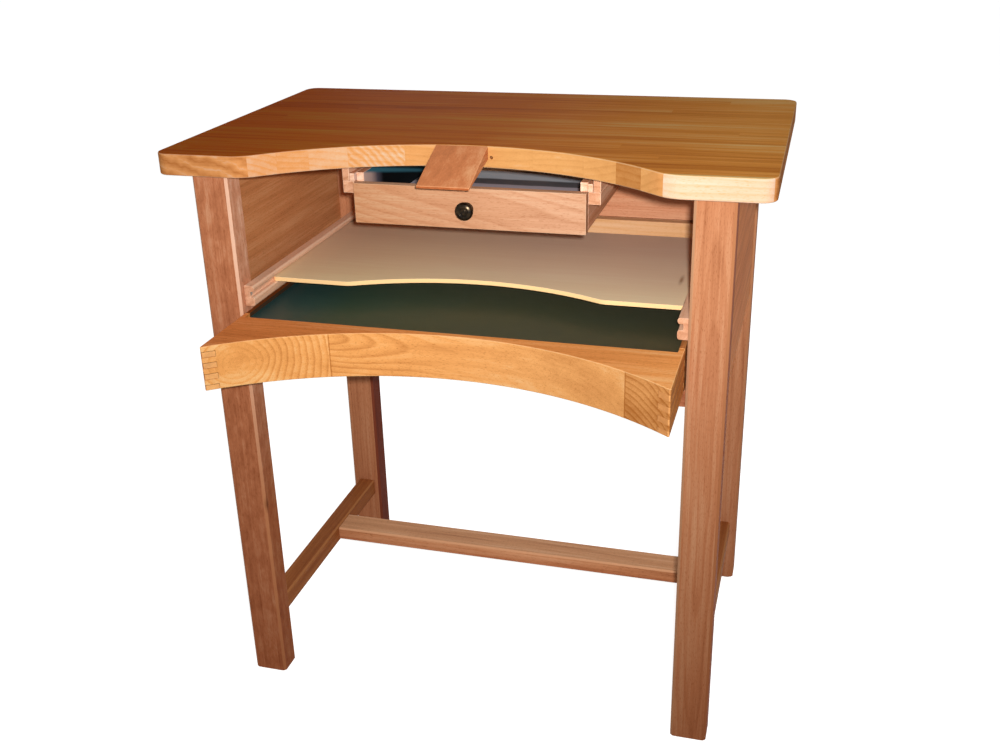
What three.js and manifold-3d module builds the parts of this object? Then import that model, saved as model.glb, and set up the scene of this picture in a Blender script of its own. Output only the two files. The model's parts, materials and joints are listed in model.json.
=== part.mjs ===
// Jewelers bench: a beech worktop with a seat cut-out on four legs, with a hung drawer, a shelf that
// slides in grooved runners, a pull-out catch tray and a removable bench pin.
// Millimetres, +Z up, +X to the sitter's right, +Y to the back. The sitter is on the -Y side.

import * as THREE from "three";
import { mergeVertices } from "three/addons/utils/BufferGeometryUtils.js";
import Module from "manifold-3d";

// Clearances
const SEAT_GAP = 0.3; // between pieces that bear on each other or fit into each other
const SHELF_SIDE_PLAY = 0.6; // shelf edge to the floor of its groove
const TRAY_SIDE_PLAY = 3; // tray to the inner face of a leg
const TRAY_HEADROOM = 8; // tray to the shelf runner above it
const DRAWER_SIDE_PLAY = 1.5; // drawer side to its ledge
const CLEAT_PLAY = 0.7; // drawer cleat to its spacer
const CUT_PAST = 1; // how far a cutting tool runs past the face it cuts

// Worktop
const TOP_WIDTH = 908;
const TOP_DEPTH = 568;
const TOP_THICKNESS = 33;
const BENCH_HEIGHT = 943;
const TOP_CORNER_RADIUS = 22;
const CUTOUT_WIDTH = 620;
const CUTOUT_DEPTH = 129;
const CUTOUT_SHOULDER_RADIUS = 60;
const TOP_EDGE_EASE = 2; // rounding of its upper and lower edges
const EDGE_HOLE_DIAMETER = 5;
const EDGE_HOLE_DEPTH = 20;
const EDGE_HOLE_DROP = 17; // below the top face
const EDGE_HOLE_MARGIN = 5; // from the side of the bench pin to the hole's centre

// Legs and the dowels that hold the worktop on them
const LEG_WIDTH = 58;
const LEG_DEPTH = 43;
const LEG_SIDE_INSET = 51;
const LEG_FRONT_INSET = 15;
const LEG_REAR_INSET = 21;
const LEG_EDGE_CHAMFER = 4;
const FOOT_CHAMFER = 6;
const DOWEL_DIAMETER = 12;
const DOWEL_IN_LEG = 30;
const DOWEL_COVER = 13; // wood left above a dowel in the worktop

// Panels and rear rail
const PANEL_RECESS = 3; // behind the outer faces of the legs
const SIDE_PANEL_THICKNESS = 16;
const SIDE_PANEL_HEIGHT = 300;
const BACK_PANEL_THICKNESS = 16;
const BACK_PANEL_HEIGHT = 179;
const REAR_RAIL_HEIGHT = 40;
const REAR_RAIL_THICKNESS = 22;
const REAR_RAIL_SHADOW_GAP = 4.5; // open line between the back panel and the rail
const TONGUE_LENGTH = 8;
const TONGUE_THICKNESS = 6;

// Stretchers near the floor
const STRETCHER_EDGE_CHAMFER = 3;
const SIDE_STRETCHER_WIDTH = 34;
const SIDE_STRETCHER_HEIGHT = 34;
const SIDE_STRETCHER_BOTTOM = 98;
const SIDE_TENON_LENGTH = 20;
const SIDE_TENON_SHOULDER = 7;
const CROSS_STRETCHER_DEPTH = 56;
const CROSS_STRETCHER_HEIGHT = 26;
const CROSS_STRETCHER_RISE = 4.5; // above the bottom of the side stretchers
const CROSS_STRETCHER_SETBACK = 53.5; // its centre line behind the middle of the worktop
const CROSS_TENON_LENGTH = 14;
const CROSS_TENON_SHOULDER = 5;

// Shelf and its grooved runners
const SHELF_THICKNESS = 7;
const SHELF_FRONT_SETBACK = 179; // behind the front edge of the worktop when pushed in
const SHELF_PULLED_OUT = 70;
const SHELF_HOLLOW_WIDTH = 408;
const SHELF_HOLLOW_DEPTH = 49;
const SHELF_SHOULDER_RADIUS = 40;
const SHELF_CORNER_RADIUS = 6;
const GROOVE_DROP = 195.5; // worktop underside to the floor of the groove
const GROOVE_HEIGHT = 9;
const GROOVE_DEPTH = 8;
const RUNNER_THICKNESS = 16.2;
const RUNNER_LOWER_LIP = 14.5;
const RUNNER_UPPER_LIP = 9.5;
const RUNNER_LIP_RADIUS = 4;
const RUNNER_FRONT_SETBACK = 14; // behind the front faces of the legs

// Catch tray, its runners and stops
const TRAY_HEIGHT = 70;
const TRAY_HOLLOW_DEPTH = 119;
const TRAY_FRONT_WAIST = 26; // front board's thickness at the middle of the hollow
const TRAY_PROUD = 1; // front corners in front of the worktop's edge when shut
const TRAY_PULLED_OUT = 126;
const TRAY_SIDE_THICKNESS = 18;
const TRAY_BACK_THICKNESS = 16;
const TRAY_BACK_HOUSING = 6;
const TRAY_FINGERS = 8;
const TRAY_LIP = 8; // wood left around the sheet
const TRAY_FRONT_REBATE = 16;
const TRAY_EDGE_EASE = 1.5; // rounding of the front board's edges
const SHEET_THICKNESS = 1.5;
const SHEET_RECESS = 6; // below the tray's top edge
const TRAY_RUNNER_HEIGHT = 26;
const TRAY_RUNNER_THICKNESS = 15.2;
const TRAY_STOP_HEIGHT = 40;
const TRAY_STOP_DEPTH = 20;

// Drawer hung under the worktop
const DRAWER_WIDTH = 362;
const DRAWER_REAR_ROOM = 41.7; // from the strip behind the drawer to the back panel
const DRAWER_FRONT_DROP = 26; // worktop underside to the front's top edge
const DRAWER_FRONT_HEIGHT = 62;
const DRAWER_FRONT_THICKNESS = 16;
const DRAWER_SIDE_DROP = 13;
const DRAWER_SIDE_LIFT = 3; // sides' lower edge above the front's lower edge
const DRAWER_SIDE_THICKNESS = 12;
const DRAWER_BACK_DROP = 30;
const DRAWER_BACK_THICKNESS = 12;
const DRAWER_BOTTOM_LIFT = 6;
const DRAWER_BOTTOM_THICKNESS = 2;
const DRAWER_GROOVE_DEPTH = 5.5;
const DRAWER_SETBACK = 5; // front face behind the cut-out's deepest point when shut
const DRAWER_PULLED_OUT = 30;
const CLEAT_THICKNESS = 8;
const CLEAT_HEIGHT = 12;
const CLEAT_SETBACK = 8; // behind the front face of the drawer
const SPACER_THICKNESS = 11;
const SPACER_PROUD = 17; // front end in front of the cut-out's deepest point
const LEDGE_HEIGHT = 18.4;
const DRAWER_STOP_DEPTH = 15;
const DRAWER_STOP_HEIGHT = 24;

// Knob
const KNOB_DIAMETER = 28;
const KNOB_LENGTH = 21;
const KNOB_NECK_DIAMETER = 13;
const KNOB_FOOT_DIAMETER = 20.5;
const KNOB_FOOT_HEIGHT = 2.1;
const KNOB_FOOT_FLARE = 3.2; // height in which the foot draws in to the neck
const KNOB_HEAD_HEIGHT = 10.5;
const KNOB_HEAD_FLARE = 2.1; // height in which the neck swells to the head
const KNOB_RIM_HEIGHT = 7;
const KNOB_RIM_EASE = 1;
const KNOB_CROWN_HEIGHT = 1; // of the low dome on the head
const KNOB_SCREW_DIAMETER = 4;
const KNOB_SCREW_BITE = 12;
const KNOB_SCREW_HEAD_DIAMETER = 8;
const KNOB_SCREW_HEAD_HEIGHT = 2.5;

// Bench pin
const PIN_WIDTH = 80;
const PIN_OFFSET = -12; // its centre line from the worktop's
const PIN_LENGTH = 100; // from the cut-out's deepest point to the tip
const PIN_DROP = 38; // tip's upper edge below the worktop's top face
const PIN_ROOT_THICKNESS = 20;
const PIN_TIP_THICKNESS = 4;
const TANG_WIDTH = 60;
const TANG_LENGTH = 45;
const TANG_THICKNESS = 13;
const TANG_DROP = 4; // below the worktop's top face
const TANG_LEAD = 25; // how far its mortise tool stands out of the cut-out's edge

// Countersunk wood screws
const SCREW_DIAMETER = 4;
const SCREW_HEAD_DIAMETER = 7.4;
const SCREW_HEAD_HEIGHT = 3;
const SCREW_POINT = 6;
const RUNNER_SCREW_LENGTH = 40;
const RUNNER_SCREW_INSET = 8; // from a rear leg's front face to the rear screws
const LEDGE_SCREW_BITE = 18; // into the worktop
const LEDGE_SCREW_INSET = 30; // from the ends of a ledge

// Fineness of round shapes
const ARC_STEPS = 36;
const FILLET_STEPS = 8;
const LIP_STEPS = 4;
const EASE_STEPS = 2;
const ROUND_SIDES = 12;
const KNOB_SIDES = 20;

// Places worked out from the sizes above
const front = -TOP_DEPTH / 2;
const back = TOP_DEPTH / 2;
const underside = BENCH_HEIGHT - TOP_THICKNESS;
const cutoutBack = front + CUTOUT_DEPTH;
const legOuter = TOP_WIDTH / 2 - LEG_SIDE_INSET;
const legInner = legOuter - LEG_WIDTH;
const legCentre = (legOuter + legInner) / 2;
const frontLeg = { front: front + LEG_FRONT_INSET, back: front + LEG_FRONT_INSET + LEG_DEPTH };
const rearLeg = { front: back - LEG_REAR_INSET - LEG_DEPTH, back: back - LEG_REAR_INSET };
const legTop = underside - SEAT_GAP;
const panelBack = rearLeg.back - PANEL_RECESS;
const backPanelBottom = underside - BACK_PANEL_HEIGHT;
const railTop = backPanelBottom - REAR_RAIL_SHADOW_GAP;
const railFront = panelBack - REAR_RAIL_THICKNESS;
const grooveFloor = underside - GROOVE_DROP;
const runnerBottom = grooveFloor - RUNNER_LOWER_LIP;
const runnerTop = grooveFloor + GROOVE_HEIGHT + RUNNER_UPPER_LIP;
const runnerOuter = legInner - SEAT_GAP;
const runnerInner = runnerOuter - RUNNER_THICKNESS;
const runnerFront = frontLeg.front + RUNNER_FRONT_SETBACK;
const trayTop = runnerBottom - TRAY_HEADROOM;
const trayBottom = trayTop - TRAY_HEIGHT;
const trayHalf = legInner - TRAY_SIDE_PLAY;
const trayCorner = front - TRAY_PROUD;
const trayApex = trayCorner + TRAY_HOLLOW_DEPTH;
const trayFrontBack = trayApex + TRAY_FRONT_WAIST;
const trayRear = railFront - SEAT_GAP - TRAY_STOP_DEPTH - SEAT_GAP;
const trayRunnerTop = trayBottom - SEAT_GAP;
const trayRunnerInner = runnerOuter - TRAY_RUNNER_THICKNESS;
const sheetTop = trayTop - SHEET_RECESS;
const pocketFloor = sheetTop - SHEET_THICKNESS - SEAT_GAP;
const drawerHalf = DRAWER_WIDTH / 2;
const drawerFront = cutoutBack + DRAWER_SETBACK;
const drawerFrontBack = drawerFront + DRAWER_FRONT_THICKNESS;
const stopBack = panelBack - BACK_PANEL_THICKNESS - DRAWER_REAR_ROOM;
const stopFront = stopBack - DRAWER_STOP_DEPTH;
const drawerRear = stopFront - SEAT_GAP;
const drawerTop = underside - DRAWER_FRONT_DROP;
const drawerBottom = drawerTop - DRAWER_FRONT_HEIGHT;
const drawerSideTop = underside - DRAWER_SIDE_DROP;
const drawerSideInner = drawerHalf - DRAWER_SIDE_THICKNESS;
const drawerGrooveFloor = drawerBottom + DRAWER_BOTTOM_LIFT;
const drawerGrooveTop = drawerGrooveFloor + DRAWER_BOTTOM_THICKNESS + 2 * SEAT_GAP;
const cleatInner = drawerHalf + SEAT_GAP;
const cleatOuter = cleatInner + CLEAT_THICKNESS;
const cleatBottom = drawerSideTop - CLEAT_HEIGHT;
const spacerInner = cleatOuter + CLEAT_PLAY;
const spacerOuter = spacerInner + SPACER_THICKNESS;
const spacerFront = cutoutBack - SPACER_PROUD;
const ledgeTop = cleatBottom - SEAT_GAP;
const ledgeBottom = ledgeTop - LEDGE_HEIGHT;
const knobHeight = (drawerTop + drawerBottom) / 2;

const sides = { left: -1, right: 1 };

const wasm = await Module();
wasm.setup();

// Turns a closed geometry into a solid for joining and cutting.
function solidOf(geometry) {
  const bare = geometry.clone();
  bare.deleteAttribute("normal");
  bare.deleteAttribute("uv");
  const merged = mergeVertices(bare, 1e-4);
  const index = merged.index.array;
  const kept = [];
  for (let i = 0; i < index.length; i += 3) {
    const [a, b, c] = [index[i], index[i + 1], index[i + 2]];
    if (a !== b && b !== c && c !== a) kept.push(a, b, c);
  }
  const mesh = new wasm.Mesh({
    numProp: 3,
    vertProperties: merged.attributes.position.array,
    triVerts: new Uint32Array(kept),
  });
  return new wasm.Manifold(mesh);
}

// Turns a solid back into a flat-shaded geometry.
function geometryOf(solid) {
  const mesh = solid.getMesh();
  const geometry = new THREE.BufferGeometry();
  geometry.setAttribute("position", new THREE.BufferAttribute(mesh.vertProperties, 3));
  geometry.setIndex(new THREE.BufferAttribute(mesh.triVerts, 1));
  const flat = geometry.toNonIndexed();
  flat.computeVertexNormals();
  return flat;
}

// Joins closed geometries that overlap into one.
function join(first, ...others) {
  return geometryOf(others.reduce((sum, other) => sum.add(solidOf(other)), solidOf(first)));
}

// Cuts each tool out of a geometry.
function cut(geometry, ...tools) {
  return geometryOf(tools.reduce((rest, tool) => rest.subtract(solidOf(tool)), solidOf(geometry)));
}

// Keeps what two geometries share.
function common(first, second) {
  return geometryOf(solidOf(first).intersect(solidOf(second)));
}

// A block between two values on each axis, given in either order.
function block([x0, x1], [y0, y1], [z0, z1]) {
  const geometry = new THREE.BoxGeometry(Math.abs(x1 - x0), Math.abs(y1 - y0), Math.abs(z1 - z0));
  return geometry.translate((x0 + x1) / 2, (y0 + y1) / 2, (z0 + z1) / 2);
}

// A plan outline raised from one height to another.
function raised(outline, [z0, z1]) {
  const shape = new THREE.Shape(outline);
  const geometry = new THREE.ExtrudeGeometry(shape, { depth: z1 - z0, bevelEnabled: false });
  return geometry.translate(0, 0, z0);
}

// The same with its upper and lower edges rounded by an ease.
function raisedEased(outline, [z0, z1], ease) {
  const shape = new THREE.Shape(outline);
  const geometry = new THREE.ExtrudeGeometry(shape, {
    depth: z1 - z0 - 2 * ease,
    bevelEnabled: true,
    bevelThickness: ease,
    bevelSize: ease,
    bevelOffset: -ease,
    bevelSegments: EASE_STEPS,
  });
  return geometry.translate(0, 0, z0 + ease);
}

// A side view, drawn in Y and Z, carried across from one X to another.
function acrossX(outline, [x0, x1]) {
  const turn = new THREE.Matrix4().makeBasis(
    new THREE.Vector3(0, 1, 0),
    new THREE.Vector3(0, 0, 1),
    new THREE.Vector3(1, 0, 0),
  );
  return raised(outline, [0, x1 - x0]).applyMatrix4(turn).translate(x0, 0, 0);
}

// A front view, drawn in X and Z, carried back from one Y to another.
function alongY(outline, [y0, y1]) {
  const turn = new THREE.Matrix4().makeBasis(
    new THREE.Vector3(1, 0, 0),
    new THREE.Vector3(0, 0, 1),
    new THREE.Vector3(0, -1, 0),
  );
  return raised(outline, [0, y1 - y0]).applyMatrix4(turn).translate(0, y1, 0);
}

// A turned form: its profile of radius and height, set on a point along a direction.
function turned(profile, [x, y, z], direction, sideCount = ROUND_SIDES) {
  const points = profile.map(([radius, height]) => new THREE.Vector2(radius, height));
  const turn = new THREE.Quaternion().setFromUnitVectors(
    new THREE.Vector3(0, 1, 0),
    new THREE.Vector3(...direction),
  );
  const geometry = new THREE.LatheGeometry(points, sideCount).applyQuaternion(turn);
  return geometry.translate(x, y, z);
}

// A round bar of a diameter and length, from a point along a direction.
function bar(diameter, length, start, direction) {
  const radius = diameter / 2;
  return turned([[0, 0], [radius, 0], [radius, length], [0, length]], start, direction);
}

// Points on an arc about a centre, from one angle to another.
function arc(centre, radius, from, to, steps) {
  return Array.from({ length: steps + 1 }, (_, i) => {
    const angle = from + ((to - from) * i) / steps;
    return new THREE.Vector2(
      centre.x + radius * Math.cos(angle),
      centre.y + radius * Math.sin(angle),
    );
  });
}

// Radius of the arc that spans a width at a depth.
function arcRadius(width, depth) {
  return (width ** 2 / 4 + depth ** 2) / (2 * depth);
}

// Plan of a board whose front edge has a hollow in the middle with rounded shoulders.
function hollowFrontOutline({ half, frontY, backY, width, depth, shoulder, corner }) {
  const radius = arcRadius(width, depth);
  const hollow = new THREE.Vector2(0, frontY + depth - radius);
  const shoulderX = Math.sqrt((radius + shoulder) ** 2 - (frontY + shoulder - hollow.y) ** 2);
  const lean = Math.atan2(frontY + shoulder - hollow.y, shoulderX);
  const quarter = Math.PI / 2;
  const inX = half - corner;
  return [
    ...arc({ x: -inX, y: frontY + corner }, corner, 2 * quarter, 3 * quarter, FILLET_STEPS),
    ...arc({ x: -shoulderX, y: frontY + shoulder }, shoulder, 3 * quarter, 4 * quarter - lean, FILLET_STEPS),
    ...arc(hollow, radius, 2 * quarter - lean, lean, ARC_STEPS).slice(1, -1),
    ...arc({ x: shoulderX, y: frontY + shoulder }, shoulder, 2 * quarter + lean, 3 * quarter, FILLET_STEPS),
    ...arc({ x: inX, y: frontY + corner }, corner, -quarter, 0, FILLET_STEPS),
    ...arc({ x: inX, y: backY - corner }, corner, 0, quarter, FILLET_STEPS),
    ...arc({ x: -inX, y: backY - corner }, corner, quarter, 2 * quarter, FILLET_STEPS),
  ];
}

// A rectangle with its four corners chamfered, counter-clockwise from its lower right corner.
function chamferedRectangle([u0, u1], [v0, v1], chamfer) {
  return [
    new THREE.Vector2(u1 - chamfer, v0),
    new THREE.Vector2(u1, v0 + chamfer),
    new THREE.Vector2(u1, v1 - chamfer),
    new THREE.Vector2(u1 - chamfer, v1),
    new THREE.Vector2(u0 + chamfer, v1),
    new THREE.Vector2(u0, v1 - chamfer),
    new THREE.Vector2(u0, v0 + chamfer),
    new THREE.Vector2(u0 + chamfer, v0),
  ];
}

// Countersunk screw from its head's face inwards; a bore for it is the same form with the seat gap added.
function screwProfile(length, gap = 0) {
  const shank = SCREW_DIAMETER / 2 + gap;
  const head = SCREW_HEAD_DIAMETER / 2 + gap;
  const rim = gap > 0 ? [[0, -CUT_PAST], [head, -CUT_PAST]] : [[0, 0]];
  return [
    ...rim,
    [head, 0],
    [shank, SCREW_HEAD_HEIGHT + gap],
    [shank, length - SCREW_POINT],
    [0, length + gap],
  ];
}

function screw(place) {
  return turned(screwProfile(place.length), place.at, place.along);
}

function screwBore(place) {
  return turned(screwProfile(place.length, SEAT_GAP), place.at, place.along);
}

// Screws that hold the runners to the legs and the drawer ledges to the worktop.
function runnerScrews(side, x, z, rearY) {
  const frontY = (frontLeg.front + frontLeg.back) / 2;
  const along = [side, 0, 0];
  return {
    front: { at: [side * x, frontY, z], along, length: RUNNER_SCREW_LENGTH },
    rear: { at: [side * x, rearY, z], along, length: RUNNER_SCREW_LENGTH },
  };
}

function shelfRunnerScrews(side) {
  const rearY = rearLeg.front + RUNNER_SCREW_INSET;
  return runnerScrews(side, runnerInner + GROOVE_DEPTH, grooveFloor + GROOVE_HEIGHT / 2, rearY);
}

function trayRunnerScrews(side) {
  const rearY = (rearLeg.front + rearLeg.back) / 2;
  return runnerScrews(side, trayRunnerInner, trayRunnerTop - TRAY_RUNNER_HEIGHT / 2, rearY);
}

function ledgeScrews(side) {
  const x = (side * (spacerInner + spacerOuter)) / 2;
  const along = [0, 0, 1];
  const length = underside + LEDGE_SCREW_BITE - ledgeBottom;
  return {
    front: { at: [x, spacerFront + LEDGE_SCREW_INSET, ledgeBottom], along, length },
    rear: { at: [x, stopBack - LEDGE_SCREW_INSET, ledgeBottom], along, length },
  };
}

// Dowel in the top of a leg, or its bore with a gap.
function legDowel(side, leg, gap = 0) {
  const start = legTop - DOWEL_IN_LEG - gap;
  const length = DOWEL_IN_LEG + SEAT_GAP + TOP_THICKNESS - DOWEL_COVER + 2 * gap;
  const at = [side * legCentre, (leg.front + leg.back) / 2, start];
  return bar(DOWEL_DIAMETER + 2 * gap, length, at, [0, 0, 1]);
}

// Worktop, bored for dowels and screws and mortised for the pin's tang.
function worktop() {
  const outline = hollowFrontOutline({
    half: TOP_WIDTH / 2,
    frontY: front,
    backY: back,
    width: CUTOUT_WIDTH,
    depth: CUTOUT_DEPTH,
    shoulder: CUTOUT_SHOULDER_RADIUS,
    corner: TOP_CORNER_RADIUS,
  });
  const tools = [tang(SEAT_GAP), edgeHole()];
  for (const side of Object.values(sides)) {
    tools.push(legDowel(side, frontLeg, SEAT_GAP), legDowel(side, rearLeg, SEAT_GAP));
    tools.push(...Object.values(ledgeScrews(side)).map(screwBore));
  }
  return cut(raisedEased(outline, [underside, BENCH_HEIGHT], TOP_EDGE_EASE), ...tools);
}

// Small hole in the worktop's edge beside the pin.
function edgeHole() {
  const x = PIN_OFFSET + PIN_WIDTH / 2 + EDGE_HOLE_MARGIN;
  const radius = arcRadius(CUTOUT_WIDTH, CUTOUT_DEPTH);
  const edge = cutoutBack - radius + Math.sqrt(radius ** 2 - x ** 2);
  const start = [x, edge - EDGE_HOLE_DIAMETER, BENCH_HEIGHT - EDGE_HOLE_DROP];
  return bar(EDGE_HOLE_DIAMETER, EDGE_HOLE_DIAMETER + EDGE_HOLE_DEPTH, start, [0, 1, 0]);
}

// Column with chamfered edges that tapers at the foot.
function legColumn(side, leg) {
  const ring = (inset, z) => {
    const halfX = LEG_WIDTH / 2 - inset;
    const x = [side * legCentre - halfX, side * legCentre + halfX];
    const y = [leg.front + inset, leg.back - inset];
    return chamferedRectangle(x, y, LEG_EDGE_CHAMFER).map((point) => [point.x, point.y, z]);
  };
  return stacked([ring(FOOT_CHAMFER, 0), ring(0, FOOT_CHAMFER), ring(0, legTop)]);
}

// Closed form through rings of points, each convex and counter-clockwise from above, from the floor up.
function stacked(rings) {
  const count = rings[0].length;
  const index = [];
  for (let i = 1; i < count - 1; i++) {
    const top = (rings.length - 1) * count;
    index.push(0, i + 1, i);
    index.push(top, top + i, top + i + 1);
  }
  for (let level = 0; level < rings.length - 1; level++) {
    for (let i = 0; i < count; i++) {
      const a = level * count + i;
      const b = level * count + ((i + 1) % count);
      index.push(a, b, b + count, a, b + count, a + count);
    }
  }
  const geometry = new THREE.BufferGeometry();
  geometry.setAttribute("position", new THREE.Float32BufferAttribute(rings.flat(2), 3));
  geometry.setIndex(index);
  return geometry;
}

// Tongues and tenons, drawn with no gap for the piece and with the seat gap for the groove or mortise.
function sidePanelBody(side, gap = 0) {
  const outer = legOuter - PANEL_RECESS;
  const middle = outer - SIDE_PANEL_THICKNESS / 2;
  const tongueX = [middle - TONGUE_THICKNESS / 2 - gap, middle + TONGUE_THICKNESS / 2 + gap];
  const tongueY = [frontLeg.back - TONGUE_LENGTH - gap, rearLeg.front + TONGUE_LENGTH + gap];
  const z = [underside - SIDE_PANEL_HEIGHT - gap, legTop + gap];
  const tongue = block(tongueX.map((x) => side * x), tongueY, z);
  if (gap > 0) return tongue;
  const boardX = [outer - SIDE_PANEL_THICKNESS, outer].map((x) => side * x);
  return join(tongue, block(boardX, [frontLeg.back + SEAT_GAP, rearLeg.front - SEAT_GAP], z));
}

function crossBoard({ thickness, z, end }, gap = 0) {
  const middle = panelBack - thickness / 2;
  const half = legInner + end.length + gap;
  const endY = [middle - end.thickness / 2 - gap, middle + end.thickness / 2 + gap];
  const endZ = [z[0] + end.shoulder - gap, z[1] - end.shoulder + gap];
  const tongue = block([-half, half], endY, endZ);
  if (gap > 0) return tongue;
  const boardX = [-legInner + SEAT_GAP, legInner - SEAT_GAP];
  return join(tongue, block(boardX, [panelBack - thickness, panelBack], z));
}

function backPanel(gap) {
  const end = { length: TONGUE_LENGTH, thickness: TONGUE_THICKNESS, shoulder: 0 };
  return crossBoard({ thickness: BACK_PANEL_THICKNESS, z: [backPanelBottom, legTop], end }, gap);
}

function rearRail(gap) {
  const end = { length: SIDE_TENON_LENGTH, thickness: TONGUE_THICKNESS, shoulder: SIDE_TENON_SHOULDER };
  const z = [railTop - REAR_RAIL_HEIGHT, railTop];
  return crossBoard({ thickness: REAR_RAIL_THICKNESS, z, end }, gap);
}

function sideStretcherBody(side, gap = 0) {
  const halfTenon = SIDE_STRETCHER_WIDTH / 2 - SIDE_TENON_SHOULDER + gap;
  const z = [SIDE_STRETCHER_BOTTOM, SIDE_STRETCHER_BOTTOM + SIDE_STRETCHER_HEIGHT];
  const tenon = block(
    [side * legCentre - halfTenon, side * legCentre + halfTenon],
    [frontLeg.back - SIDE_TENON_LENGTH - gap, rearLeg.front + SIDE_TENON_LENGTH + gap],
    [z[0] + SIDE_TENON_SHOULDER - gap, z[1] - SIDE_TENON_SHOULDER + gap],
  );
  if (gap > 0) return tenon;
  const half = SIDE_STRETCHER_WIDTH / 2;
  const x = [side * legCentre - half, side * legCentre + half];
  const section = chamferedRectangle(x, z, STRETCHER_EDGE_CHAMFER);
  return join(tenon, alongY(section, [frontLeg.back + SEAT_GAP, rearLeg.front - SEAT_GAP]));
}

function crossStretcherBody(gap = 0) {
  const reach = legCentre - SIDE_STRETCHER_WIDTH / 2;
  const shoulder = CROSS_TENON_SHOULDER - gap;
  const bottom = SIDE_STRETCHER_BOTTOM + CROSS_STRETCHER_RISE;
  const z = [bottom, bottom + CROSS_STRETCHER_HEIGHT];
  const y = [-1, 1].map((end) => CROSS_STRETCHER_SETBACK + (end * CROSS_STRETCHER_DEPTH) / 2);
  const tenonX = reach + CROSS_TENON_LENGTH + gap;
  const tenonY = [y[0] + shoulder, y[1] - shoulder];
  const tenon = block([-tenonX, tenonX], tenonY, [z[0] + shoulder, z[1] - shoulder]);
  if (gap > 0) return tenon;
  const section = chamferedRectangle(y, z, STRETCHER_EDGE_CHAMFER);
  return join(tenon, acrossX(section, [-reach + SEAT_GAP, reach - SEAT_GAP]));
}

// Leg, bored, grooved and mortised for what it carries.
function leg(side, place) {
  const tools = [
    legDowel(side, place, SEAT_GAP),
    sidePanelBody(side, SEAT_GAP),
    sideStretcherBody(side, SEAT_GAP),
    backPanel(SEAT_GAP),
    rearRail(SEAT_GAP),
    ...Object.values(shelfRunnerScrews(side)).map(screwBore),
    ...Object.values(trayRunnerScrews(side)).map(screwBore),
  ];
  return cut(legColumn(side, place), ...tools);
}

// Shelf runner: a strip with a groove between two rounded lips.
function shelfRunner(side) {
  const r = RUNNER_LIP_RADIUS;
  const grooveTop = grooveFloor + GROOVE_HEIGHT;
  const deep = runnerInner + GROOVE_DEPTH;
  const quarter = Math.PI / 2;
  const lip = (bottom, top) => [
    ...arc({ x: runnerInner + r, y: top - r }, r, quarter, 2 * quarter, LIP_STEPS),
    ...arc({ x: runnerInner + r, y: bottom + r }, r, 2 * quarter, 3 * quarter, LIP_STEPS),
  ];
  const profile = [
    new THREE.Vector2(runnerOuter, runnerBottom),
    new THREE.Vector2(runnerOuter, runnerTop),
    ...lip(grooveTop, runnerTop),
    new THREE.Vector2(deep, grooveTop),
    new THREE.Vector2(deep, grooveFloor),
    ...lip(runnerBottom, grooveFloor),
  ].map((point) => new THREE.Vector2(side * point.x, point.y));
  const strip = alongY(profile, [runnerFront, railFront - SEAT_GAP]);
  return cut(strip, ...Object.values(shelfRunnerScrews(side)).map(screwBore));
}

function trayRunner(side) {
  const x = [side * trayRunnerInner, side * runnerOuter];
  const strip = block(x, [runnerFront, panelBack], [trayRunnerTop - TRAY_RUNNER_HEIGHT, trayRunnerTop]);
  return cut(strip, ...Object.values(trayRunnerScrews(side)).map(screwBore));
}

function trayStop(side) {
  const x = [side * trayRunnerInner, side * runnerOuter];
  const rear = railFront - SEAT_GAP;
  return block(x, [rear - TRAY_STOP_DEPTH, rear], [trayBottom, trayBottom + TRAY_STOP_HEIGHT]);
}

function shelf() {
  const outline = hollowFrontOutline({
    half: runnerInner + GROOVE_DEPTH - SHELF_SIDE_PLAY,
    frontY: front + SHELF_FRONT_SETBACK,
    backY: railFront - SEAT_GAP,
    width: SHELF_HOLLOW_WIDTH,
    depth: SHELF_HOLLOW_DEPTH,
    shoulder: SHELF_SHOULDER_RADIUS,
    corner: SHELF_CORNER_RADIUS,
  });
  const bottom = grooveFloor + SEAT_GAP;
  return raised(outline, [bottom, bottom + SHELF_THICKNESS]);
}

// The whole front of the tray in plan, hollowed to the sitter, before its ends are fingered.
function trayFrontBlank() {
  const radius = arcRadius(2 * trayHalf, TRAY_HOLLOW_DEPTH);
  const centre = { x: 0, y: trayApex - radius };
  const lean = Math.atan2(trayCorner - centre.y, trayHalf);
  const outline = [
    ...arc(centre, radius, Math.PI - lean, lean, ARC_STEPS),
    new THREE.Vector2(trayHalf, trayFrontBack),
    new THREE.Vector2(-trayHalf, trayFrontBack),
  ];
  return raisedEased(outline, [trayBottom, trayTop], TRAY_EDGE_EASE);
}

// Fingers of one tray side through the front board, or the slots for them with a gap.
function trayFingers(side, gap = 0) {
  const pitch = TRAY_HEIGHT / TRAY_FINGERS;
  const x = [side * (trayHalf - TRAY_SIDE_THICKNESS - gap), side * (trayHalf + CUT_PAST)];
  const y = [trayCorner - CUT_PAST, trayFrontBack + CUT_PAST];
  const play = gap > 0 ? SEAT_GAP / 2 : -SEAT_GAP / 2;
  const fingers = [];
  for (let i = 0; i < TRAY_FINGERS; i += 2) {
    const bottom = trayBottom + i * pitch;
    const low = i === 0 ? bottom - Math.max(gap, 0) : bottom - play;
    fingers.push(block(x, y, [low, bottom + pitch + play]));
  }
  return fingers;
}

// Pocket for the sheet, sunk into the top of the tray's four boards.
function sheetPocket() {
  const half = trayHalf - TRAY_LIP;
  const y = [trayFrontBack - TRAY_FRONT_REBATE, trayRear - TRAY_LIP];
  return block([-half, half], y, [pocketFloor, trayTop + CUT_PAST]);
}

function trayFront() {
  const slots = Object.values(sides).flatMap((side) => trayFingers(side, SEAT_GAP));
  return cut(trayFrontBlank(), ...slots, sheetPocket());
}

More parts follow.
